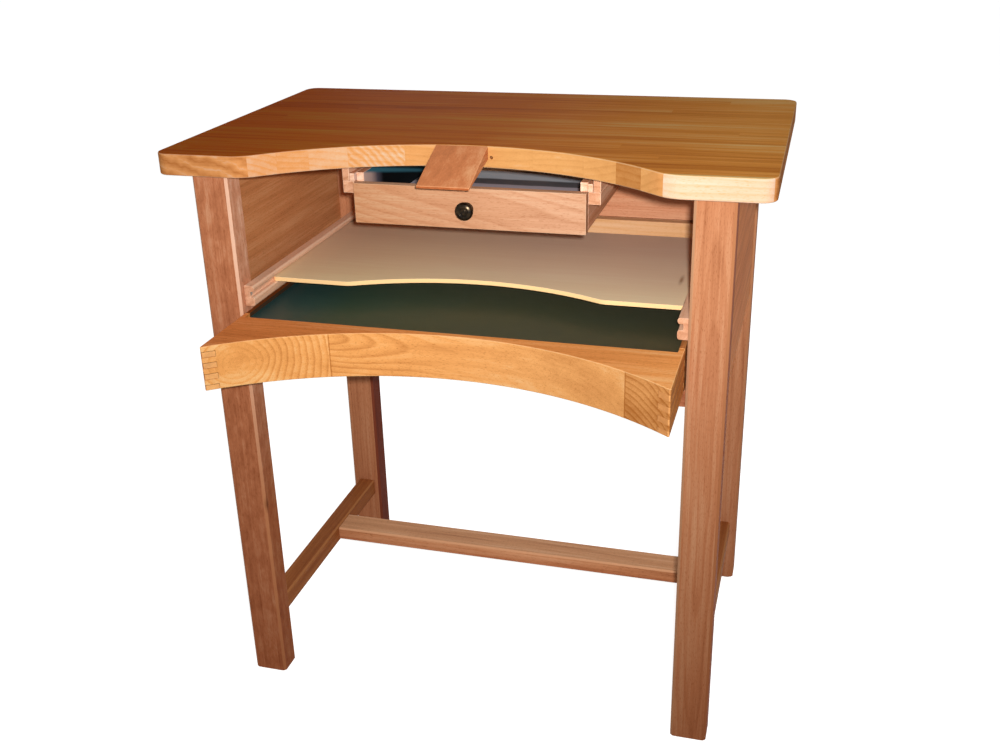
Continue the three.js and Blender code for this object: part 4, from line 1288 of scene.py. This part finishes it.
def put(node: str, shape: Union[Surface, bpy.types.Mesh], finish: Finish) -> None:
    """Makes the dressed piece that stands for a CAD node, at the origin, riding on the node's body.

    Args:
        node: CAD node that it replaces.
        shape: its surface or worked mesh.
        finish: its finish.
    """
    mesh = shape if isinstance(shape, bpy.types.Mesh) else mesh_of(node + "_eased", shape)
    mesh.polygons.foreach_set("use_smooth", np.ones(len(mesh.polygons), dtype=bool))
    mesh.set_sharp_from_angle(angle=SMOOTH_ANGLE)
    mesh.materials.clear()
    mesh.materials.append(finish.material())
    piece = bpy.data.objects.new(node + "_eased", mesh)
    bpy.context.scene.collection.objects.link(piece)
    weights = piece.modifiers.new("flat_faces", "WEIGHTED_NORMAL")
    weights.keep_sharp = True
    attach(piece, body_of_node(node))
    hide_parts(node)
    LOG.info("%s: %d faces, %s", piece.name, len(mesh.polygons), finish.name)


def put_board(node: str, edge: float, finish: Finish, axis: Axis = Axis.Z) -> None:
    """Makes the dressed piece of a CAD node that is a plain board in its own box.

    Args:
        node: CAD node that it replaces.
        edge: radius of its rounded edges.
        finish: its finish.
        axis: direction in which its plan is raised.
    """
    put(node, board(*corners(node), edge, axis), finish)


def dress(node: str, finish: Finish) -> None:
    """Gives a finish to a CAD node that stays as it is.

    Args:
        node: the CAD node.
        finish: its finish.
    """
    for slot in frame["nodes"][node].material_slots:
        slot.material = finish.material()
    LOG.info("%s: %s", node, finish.name)


@dataclass
class Worktop:
    """Staved top with its seat cut-out, the pin's mortise and a small hole in its edge."""

    cutout_width: float = 0.620
    cutout_depth: float = 0.129
    shoulder: float = 0.060
    corner: float = 0.022
    edge: float = 0.0022
    mortise_half: float = 0.0303
    mortise_drop: tuple[float, float] = (0.0037, 0.0173)
    mortise_depth: float = 0.0453
    mortise_reach: float = 0.03
    mortise_edge: float = 0.0004
    hole_radius: float = 0.0025
    hole_depth: float = 0.020
    hole_drop: float = 0.017
    hole_margin: float = 0.005
    hole_sides: int = 24

    def build(self) -> None:
        """Builds the top and works its mortise and hole."""
        low, high = corners("worktop")
        plan = hollow_front(low, high, self.cutout_width, self.cutout_depth, self.shoulder, self.corner)
        blank = raise_plan(plan, low[2], high[2], self.edge)
        pin_low, pin_high = corners("bench_pin")
        middle = (pin_low[0] + pin_high[0]) / 2
        apex = low[1] + self.cutout_depth
        mortise = board(
            (middle - self.mortise_half, apex - self.mortise_reach, high[2] - self.mortise_drop[1]),
            (middle + self.mortise_half, apex + self.mortise_depth, high[2] - self.mortise_drop[0]),
            self.mortise_edge,
        )
        along = apex - self.hole_depth + np.array([0.0, 2 * self.hole_depth])
        centre = (high[2] - self.hole_drop, pin_high[0] + self.hole_margin)
        hole = turned(np.full(2, self.hole_radius), along, centre, self.hole_sides, Axis.Y)
        put("worktop", worked("worktop_eased", blank, [(Cut.AWAY, mortise), (Cut.AWAY, hole)]), TOP_WOOD)


@dataclass
class Legs:
    """Four legs with chamfered edges and feet, and the dowels in their tops."""

    chamfer: float = 0.004
    foot: float = 0.006
    rounding: float = 0.0008

    def build(self) -> None:
        """Builds each leg and finishes its dowel."""
        finishes = {
            "front_left": LEFT_LEG_WOOD, "front_right": FRONT_LEG_WOOD,
            "rear_left": REAR_LEG_WOOD, "rear_right": REAR_LEG_WOOD,
        }
        for place, finish in finishes.items():
            put(f"leg_{place}", self.column(f"leg_{place}"), finish)
            dress(f"leg_dowel_{place}", DOWEL_WOOD)

    def column(self, node: str) -> Surface:
        """Column: the chamfered section at each height, drawn in by the foot's chamfer at the floor.

        Args:
            node: CAD node of the leg.

        Returns:
            The closed surface.
        """
        low, high = corners(node)
        insets = np.array([self.foot + self.rounding, self.foot, 0.0, 0.0, self.rounding])
        rise = np.array([0.0, self.rounding / 2, self.foot, high[2] - self.rounding, high[2]])
        sections = [chamfered(low[:2] + i, high[:2] - i, self.chamfer, self.rounding) for i in insets]
        return stacked(np.stack([section.ring() for section in sections]), rise)


@dataclass
class Carcass:
    """Panels, rear rail and stretchers between the legs."""

    edge: float = 0.0012
    gap: float = 0.0003
    stretcher_chamfer: float = 0.003
    rounding: float = 0.0008
    gap_edge: float = 0.0006
    end_edge: float = 0.0004
    lip: float = 0.005

    def build(self) -> None:
        """Builds each board up to the faces that it meets."""
        front_low, front_high = corners("leg_front_right")
        rear_low, _ = corners("leg_rear_right")
        y = (front_high[1] + self.gap, rear_low[1] - self.gap)
        x = front_low[0] - self.gap
        for side in Side:
            low, high = corners(f"side_panel_{side.value}")
            panel = board((low[0], y[0], low[2]), (high[0], y[1], high[2]), self.edge)
            put(f"side_panel_{side.value}", panel, SIDE_PANEL_WOOD)
            low, high = corners(f"side_stretcher_{side.value}")
            section = chamfered(low[[2, 0]], high[[2, 0]], self.stretcher_chamfer, self.rounding)
            stretcher = raise_plan(section, *y, self.end_edge, Axis.Y)
            put(f"side_stretcher_{side.value}", stretcher, STRETCHER_WOOD)
        low, high = corners("back_panel")
        put("back_panel", board((-x, low[1], low[2]), (x, high[1], high[2]), self.gap_edge), BACK_PANEL_WOOD)
        panel_foot = low[2]
        low, high = corners("rear_rail")
        rail = board((-x, low[1], low[2]), (x, high[1], high[2]), self.gap_edge)
        lip_low = (-x, high[1] - self.lip, high[2] - self.lip)
        lip = board(lip_low, (x, high[1], panel_foot - 2 * self.gap), self.gap)
        put("rear_rail", worked("rear_rail_eased", rail, [(Cut.JOIN, lip)]), RAIL_WOOD)
        low, high = corners("cross_stretcher")
        reach = corners("side_stretcher_right")[0][0] - self.gap
        section = chamfered(low[1:], high[1:], self.stretcher_chamfer, self.rounding)
        put("cross_stretcher", raise_plan(section, -reach, reach, self.end_edge, Axis.X), FOOT_REST_WOOD)


@dataclass
class Runners:
    """Grooved shelf runners, tray runners and stops, and the strips that the drawer hangs on."""

    lip: float = 0.004
    groove_depth: float = 0.008
    groove_floor: float = 0.0145
    groove_height: float = 0.009
    corner: float = 0.0004
    edge: float = 0.0012
    head_play: float = 0.0003
    head_depth: float = 0.004
    head_sides: int = 32
    rim: float = 0.00036

    def build(self) -> None:
        """Builds every strip and finishes its screws."""
        grooved = self.grooved(f"shelf_runner_{Side.RIGHT.value}")
        for side in Side:
            self.screwed("shelf_runner", side, for_side(side, grooved), RUNNER_WOOD)
            for name, finish in (("tray_runner", SHADED_RUNNER_WOOD), ("drawer_ledge", RUNNER_WOOD)):
                self.screwed(name, side, board(*corners(f"{name}_{side.value}"), self.edge), finish)
            put_board(f"tray_stop_{side.value}", self.edge, SHADED_RUNNER_WOOD)
            put_board(f"drawer_spacer_{side.value}", self.edge, RUNNER_WOOD)
        put_board("drawer_stop", self.edge, STOP_WOOD)

    def screwed(self, name: str, side: Side, strip: Surface, finish: Wood) -> None:
        """Sinks the heads of a strip's two screws into it and finishes all three.

        Args:
            name: name of the strip's CAD node without its side.
            side: side of the bench.
            strip: the strip before its holes.
            finish: the strip's finish.
        """
        screws = [f"{name}_screw_{side.value}_{end}" for end in ("front", "rear")]
        mesh = worked(f"{name}_{side.value}_eased", strip, [(Cut.AWAY, self.sink(screw)) for screw in screws])
        put(f"{name}_{side.value}", mesh, finish)
        for screw in screws:
            dress(screw, SCREW_METAL)

    def sink(self, screw: str) -> Surface:
        """Room for a screw's head: a straight hole about its axis, from outside its seat to the head's depth.

        Args:
            screw: CAD node of a screw along x, with its head inwards, or along z, with its head down.

        Returns:
            The closed surface.
        """
        low, high = corners(screw)
        middle = (low + high) / 2
        radius = (high[1] - low[1]) / 2 + self.head_play
        if high[0] - low[0] > high[2] - low[2]:
            axis, across, head = Axis.X, middle[1:], low[0] if middle[0] > 0 else high[0]
        else:
            axis, across, head = Axis.Z, middle[:2], low[2]
        reach = head + np.array([-self.head_depth, self.head_depth])
        return turned(np.full(2, radius), reach, across, self.head_sides, axis)

    def grooved(self, node: str) -> Surface:
        """Section of two rounded lips with a square groove between them, carried along y.

        Args:
            node: CAD node of the right runner.

        Returns:
            The closed surface.
        """
        low, high = corners(node)
        (x0, z0), (x1, z1) = (low[0], low[2]), (high[0], high[2])
        floor, deep, c, r = z0 + self.groove_floor, x0 + self.groove_depth, self.corner, self.lip
        ceiling = floor + self.groove_height
        centres = [[z1 - c, x1 - c], [z0 + c, x1 - c], [z0 + r, x0 + r], [floor - r, x0 + r]]
        centres += [[floor + c, deep - c], [ceiling - c, deep - c], [ceiling + r, x0 + r], [z1 - r, x0 + r]]
        radii = np.array([c, c, r, r, c, c, r, r])
        q = QUARTER
        starts = np.array([0.0, q, 2 * q, 3 * q, 2 * q, q, 2 * q, 3 * q])
        ends = np.array([q, 2 * q, 3 * q, 4 * q, q, 0.0, 3 * q, 4 * q])
        section = Outline(np.array(centres), radii, starts, ends)
        return raise_plan(section, low[1], high[1], self.rim, Axis.Y)


@dataclass
class Shelf:
    """Plywood shelf with a hollowed front."""

    hollow_width: float = 0.408
    hollow_depth: float = 0.049
    shoulder: float = 0.040
    corner: float = 0.006
    edge: float = 0.0006

    def build(self) -> None:
        """Builds the shelf."""
        low, high = corners("shelf")
        plan = hollow_front(low, high, self.hollow_width, self.hollow_depth, self.shoulder, self.corner)
        put("shelf", raise_plan(plan, low[2], high[2], self.edge), SHELF_WOOD)


@dataclass
class CatchTray:
    """Hollowed front board finger-jointed to two sides, a back and a sheet in a rebate."""

    hollow_depth: float = 0.119
    side_thickness: float = 0.018
    fingers: int = 8
    gap: float = 0.0003
    edge: float = 0.0016
    corner: float = 0.0018
    left_groove: float = 0.0006
    right_groove: float = 0.0002
    sheet_edge: float = 0.0003
    finger_overlap: float = 0.004
    slot_overlap: float = 0.002
    notch_reach: float = 1.0

    def build(self) -> None:
        """Builds the front and sides with their fingers, then the back and the sheet."""
        low, high = corners("tray_front")
        sheet_low, sheet_high = corners("tray_sheet")
        blank = raise_plan(self.front_plan(low, high), low[2], high[2], self.edge)
        far = (sheet_high[0] + self.gap, sheet_high[1] + self.gap, high[2] + OVERSHOOT)
        pocket = board((-far[0], sheet_low[1] - self.gap, sheet_low[2] - self.gap), far, self.sheet_edge)
        slots = [self.finger(side, row, low, high) for side in Side for row in range(0, self.fingers, 2)]
        steps = [(Cut.AWAY, tool) for tool in (*slots, pocket)]
        put("tray_front", worked("tray_front_eased", blank, steps), TRAY_FRONT_WOOD)
        for side, finish in ((Side.LEFT, TRAY_LEFT_WOOD), (Side.RIGHT, TRAY_RIGHT_SHADED_WOOD)):
            put(f"tray_side_{side.value}", self.side_board(side, low, high, pocket), finish)
        put_board("tray_back", self.edge, TRAY_BACK_WOOD)
        put_board("tray_sheet", self.sheet_edge, TRAY_METAL)

    def front_plan(self, low: np.ndarray, high: np.ndarray) -> Outline:
        """Plan of the front: an arc hollow from corner to corner, with small rounded corners.

        Args:
            low: lowest corner of the front board.
            high: highest corner.

        Returns:
            The outline, from the front left corner on.
        """
        radius = arc_radius(2 * high[0], self.hollow_depth)
        hollow = low[1] + self.hollow_depth - radius
        c = self.corner
        side = high[0] - c
        corner_y = hollow + np.sqrt((radius + c) ** 2 - side**2)
        lean = np.arctan2(corner_y - hollow, side)
        back = high[1] - c
        centres = [[-side, corner_y], [0.0, hollow], [side, corner_y], [side, back], [-side, back]]
        q = QUARTER
        starts = np.array([2 * q, 2 * q - lean, 2 * q + lean, 0.0, q])
        ends = np.array([4 * q - lean, lean, 4 * q, q, 2 * q])
        return Outline(np.array(centres), np.array([c, radius, c, c, c]), starts, ends, ARC_STEPS)

    def room(self, side: Side, row: int, low: np.ndarray, high: np.ndarray) -> tuple[float, float]:
        """Lowest and highest point of a finger's room, past the board in the lowest and highest row.

        Args:
            side: side of the tray.
            row: which finger, counted from below.
            low: lowest corner of the front board.
            high: highest corner.

        Returns:
            The two heights.
        """
        pitch = (high[2] - low[2]) / self.fingers
        spare = (self.left_groove if side is Side.LEFT else self.right_groove) / 2
        below = OVERSHOOT if row == 0 else spare
        above = OVERSHOOT if row == self.fingers - 1 else spare
        return low[2] + row * pitch - below, low[2] + (row + 1) * pitch + above

    def finger(self, side: Side, row: int, low: np.ndarray, high: np.ndarray) -> Surface:
        """Block that cuts the slot for one finger of a side board.

        Args:
            side: side of the tray.
            row: which finger, counted from below.
            low: lowest corner of the front board.
            high: highest corner.

        Returns:
            The closed surface, through the front board.
        """
        bottom, top = self.room(side, row, low, high)
        inner = high[0] - self.side_thickness - self.gap
        outer = (high[0] + OVERSHOOT, high[1] + self.slot_overlap, top)
        return for_side(side, board((inner, low[1] - OVERSHOOT, bottom), outer, TOOL_EDGE))

    def side_board(self, side: Side, low: np.ndarray, high: np.ndarray, pocket: Surface) -> bpy.types.Mesh:
        """Side board with its fingers shaped to the front's hollow.

        Args:
            side: side of the tray.
            low: lowest corner of the front board.
            high: highest corner.
            pocket: room for the sheet.

        Returns:
            The worked mesh.
        """
        rear = corners(f"tray_side_{side.value}")[1][1]
        inner = high[0] - self.side_thickness
        body = board((inner, high[1] + self.gap, low[2]), (high[0], rear, high[2]), self.edge)
        plan = self.front_plan(low, high + np.array([0.0, self.finger_overlap, 0.0]))
        blank = raise_plan(plan, low[2], high[2], self.edge)
        front = low[1] - OVERSHOOT
        strip = board((inner, front, low[2] - OVERSHOOT), high + OVERSHOOT, TOOL_EDGE)
        steps = [(Cut.KEEP, for_side(side, strip))]
        for row in range(1, self.fingers, 2):
            bottom, top = self.room(side, row, low, high)
            far = (self.notch_reach, high[1] + self.gap, top)
            steps.append((Cut.AWAY, board((-self.notch_reach, front, bottom), far, TOOL_EDGE)))
        steps += [(Cut.JOIN, for_side(side, body)), (Cut.AWAY, pocket)]
        return worked(f"tray_side_{side.value}_eased", blank, steps)


@dataclass
class Drawer:
    """Drawer box with a metal bottom, hung on two cleats, and its turned knob."""

    edge: float = 0.0014
    thin_edge: float = 0.0009
    sheet_edge: float = 0.0004
    knob_sides: int = 48
    knob_detail: int = 4
    knob_profile: tuple[tuple[float, float], ...] = (
        (0.0, 0.02), (0.0, 0.3), (0.05, 0.34), (0.06, 0.42), (0.02, 0.48), (0.02, 0.62),
        (0.09, 0.86), (0.19, 0.97), (0.32, 1.0), (0.42, 0.96), (0.5, 0.82), (0.56, 0.58),
        (0.64, 0.48), (0.74, 0.5), (0.82, 0.58), (0.9, 0.7), (0.97, 0.73), (1.0, 0.71),
    )

    def build(self) -> None:
        """Builds the box, cleats, bottom and knob."""
        put_board("drawer_front", self.edge, DRAWER_WOOD, Axis.Y)
        put_board("drawer_back", self.thin_edge, DRAWER_WOOD)
        for name in ("drawer_side", "drawer_cleat"):
            for side in Side:
                put_board(f"{name}_{side.value}", self.thin_edge, DRAWER_SIDE_WOOD)
        put_board("drawer_bottom", self.sheet_edge, DRAWER_METAL)
        put("drawer_knob", self.knob(), KNOB_METAL)
        dress("knob_screw", SCREW_METAL)

    def knob(self) -> Surface:
        """Mushroom knob: a domed head with a bead and a sunk eye, a waisted neck and a foot, turned about y.

        Its profile gives shares of the length, from the front, each with a share of the greatest radius.

        Returns:
            The closed surface.
        """
        low, high = corners("drawer_knob")
        profile = np.array(self.knob_profile)
        rows = np.linspace(0.0, len(profile) - 1.0, self.knob_detail * len(profile))
        share, across = (np.interp(rows, np.arange(len(profile)), column) for column in profile.T)
        radii = (high[0] - low[0]) / 2 * across
        heights = low[1] + (high[1] - low[1]) * share
        return turned(radii, heights, ((low + high) / 2)[[2, 0]], self.knob_sides, Axis.Y)


@dataclass
class BenchPin:
    """Wedge that slopes down to the sitter, with a tang in the worktop."""

    drop: float = 0.038
    tip: float = 0.004
    root: float = 0.020
    length: float = 0.100
    rounding: float = 0.0012
    tang_half: float = 0.030
    tang_drop: tuple[float, float] = (0.004, 0.017)
    tang_overlap: float = 0.006
    tang_edge: float = 0.0006
    cutout_radius: float = arc_radius(Worktop.cutout_width, Worktop.cutout_depth)
    seat: float = 0.0003
    steps: int = 12
    run: tuple[float, float] = (0.06, 0.99)
    nose: tuple[tuple[float, float], ...] = ((0.0, 0.0011), (0.0, 0.0006), (0.004, 0.0002), (0.012, 0.0))
    heel: tuple[tuple[float, float], ...] = ((0.998, 0.0), (1.0, 0.0004))

    def build(self) -> None:
        """Builds the wedge and joins its tang."""
        low, high = corners("bench_pin")
        middle = (low[0] + high[0]) / 2
        top = high[2]
        tang = board(
            (middle - self.tang_half, low[1] + self.length - self.tang_overlap, top - self.tang_drop[1]),
            (middle + self.tang_half, high[1], top - self.tang_drop[0]),
            self.tang_edge,
        )
        put("bench_pin", worked("bench_pin_eased", self.wedge(low, high), [(Cut.JOIN, tang)]), PIN_WOOD)

    def wedge(self, low: np.ndarray, high: np.ndarray) -> Surface:
        """Wedge: a rounded rectangle whose top and bottom rise in a straight line from tip to root.

        At share t, y = tip + t (root(x) - tip), with root(x) on the worktop's hollow, so the root seats
        on it. The nose and the heel give shares, each with the inset that rounds them.

        Args:
            low: lowest corner of the pin.
            high: highest corner.

        Returns:
            The closed surface.
        """
        apex = low[1] + self.length
        run = np.stack([np.linspace(*self.run, self.steps), np.zeros(self.steps)], axis=1)
        share, inset = np.concatenate([self.nose, run, self.heel]).T
        tops = high[2] - self.drop * (1.0 - share)
        bottoms = tops - (self.tip + (self.root - self.tip) * share)
        plan = np.stack(
            [
                rectangle((b + i, low[0] + i), (t - i, high[0] - i), self.rounding - 0.5 * i).ring()
                for b, t, i in zip(bottoms, tops, inset)
            ]
        )
        seat = self.cutout_radius - self.seat
        root = apex - self.cutout_radius + np.sqrt(seat**2 - plan[..., 1] ** 2)
        y = low[1] + share[:, None] * (root - low[1])
        return stacked(plan, y, Axis.Y)


@dataclass(frozen=True)
class Lamp:
    """Square soft lamp: its place, the point that it faces, its width, its watts and its beam in degrees."""

    name: str
    place: Triple
    aim: Triple
    size: float
    power: float
    spread: float

    def hang(self) -> None:
        """Hangs the lamp in the scene, turned to its aim."""
        data = bpy.data.lights.new(self.name, "AREA")
        data.spread = np.radians(self.spread)
        data.size = self.size
        data.energy = self.power
        lamp = bpy.data.objects.new(self.name, data)
        lamp.location = self.place
        lamp.rotation_euler = (Vector(self.aim) - Vector(self.place)).to_track_quat("-Z", "Y").to_euler()
        bpy.context.scene.collection.objects.link(lamp)


@dataclass
class Studio:
    """White floor and surroundings, a small lamp beside the camera, a soft one behind, and the camera."""

    camera_place: Triple = (0.5061, -1.7034, 1.3104)
    right: Triple = (0.96281, 0.26913, -0.02381)
    up: Triple = (-0.08708, 0.39252, 0.91561)
    focal_pixels: float = 1144.067
    frame_pixels: float = 1000.0
    floor_reach: float = 30.0
    floor_colour: tuple[float, ...] = (0.8, 0.8, 0.8, 1.0)
    floor_glow: float = 0.79
    floor_scale: Triple = (3.0, 3.0, 3.0)
    fill_colour: tuple[float, ...] = (1.0, 0.99, 0.97, 1.0)
    fill: float = 0.28
    lamps: tuple[Lamp, ...] = (
        Lamp("key_lamp", (0.533, -1.68, 1.338), (0.11, 0.0, 0.86), 0.032, 9.2, 90.0),
        Lamp("rear_lamp", (-0.7, 2.3, 1.0), (0.0, 0.2, 0.6), 0.9, 9.0, 180.0),
    )

    def build(self) -> None:
        """Sets the floor, the light and the camera."""
        self.floor()
        self.surroundings()
        for lamp in self.lamps:
            lamp.hang()
        self.camera()
        bpy.context.scene.view_settings.view_transform = "Standard"

    def floor(self) -> None:
        """Lays a flat square of floor under the feet."""
        r = self.floor_reach
        square = np.array([[-r, -r, 0.0], [r, -r, 0.0], [r, r, 0.0], [-r, r, 0.0]])
        floor = bpy.data.objects.new("studio_floor", mesh_of("studio_floor", (square, [[0, 1, 2, 3]])))
        bpy.context.scene.collection.objects.link(floor)
        floor.data.materials.append(self.floor_finish())

    def floor_finish(self) -> bpy.types.Material:
        """Lays out a white floor that keeps a soft shadow.

        Returns:
            Its material.
        """
        r = Recipe(bpy.data.materials.new("studio_white"))
        white = r.nodes.new("ShaderNodeBsdfDiffuse")
        white.inputs["Color"].default_value = self.floor_colour
        r.feed(white.inputs["Roughness"], r.noise(r.place, self.floor_scale, 2.0))
        glow = r.nodes.new("ShaderNodeEmission")
        r.feed(glow.inputs["Strength"], r.math("MULTIPLY", r.seen(), self.floor_glow))
        both = r.nodes.new("ShaderNodeAddShader")
        for socket, shader in zip(both.inputs, (white, glow)):
            r.feed(socket, shader.outputs[0])
        r.feed(r.nodes.new("ShaderNodeOutputMaterial").inputs["Surface"], both.outputs[0])
        return r.owner

    def surroundings(self) -> None:
        """Makes the world white to the eye and a soft fill to the surfaces."""
        r = Recipe(bpy.data.worlds.new("studio_world"))
        bpy.context.scene.world = r.owner
        fill, white = (r.nodes.new("ShaderNodeBackground") for _ in range(2))
        fill.inputs["Color"].default_value = self.fill_colour
        fill.inputs["Strength"].default_value = self.fill
        white.inputs["Color"].default_value = (1.0, 1.0, 1.0, 1.0)
        mixed = r.nodes.new("ShaderNodeMixShader")
        for socket, value in zip(mixed.inputs, (r.seen(), fill.outputs[0], white.outputs[0])):
            r.feed(socket, value)
        r.feed(r.nodes.new("ShaderNodeOutputWorld").inputs["Surface"], mixed.outputs[0])

    def camera(self) -> None:
        """Sets the camera where the photograph was taken from."""
        data = bpy.data.cameras.new("photo_camera")
        data.sensor_fit = "HORIZONTAL"
        data.lens = self.focal_pixels / self.frame_pixels * data.sensor_width
        camera = bpy.data.objects.new("photo_camera", data)
        right, up = Vector(self.right).normalized(), Vector(self.up)
        back = right.cross(up).normalized()
        turn = Matrix((right, back.cross(right), back)).transposed().to_4x4()
        camera.matrix_world = Matrix.Translation(self.camera_place) @ turn
        bpy.context.scene.collection.objects.link(camera)
        bpy.context.scene.camera = camera


def main() -> None:
    """Builds the bench piece by piece, then the studio."""
    logging.basicConfig(level=logging.INFO, format="%(name)s %(message)s")
    kinds = (Worktop, Legs, Carcass, Runners, Shelf, CatchTray, Drawer, BenchPin, Studio)
    for kind in kinds:
        kind().build()
        LOG.info("%s built", kind.__name__)


if __name__ == "__main__":
    main()
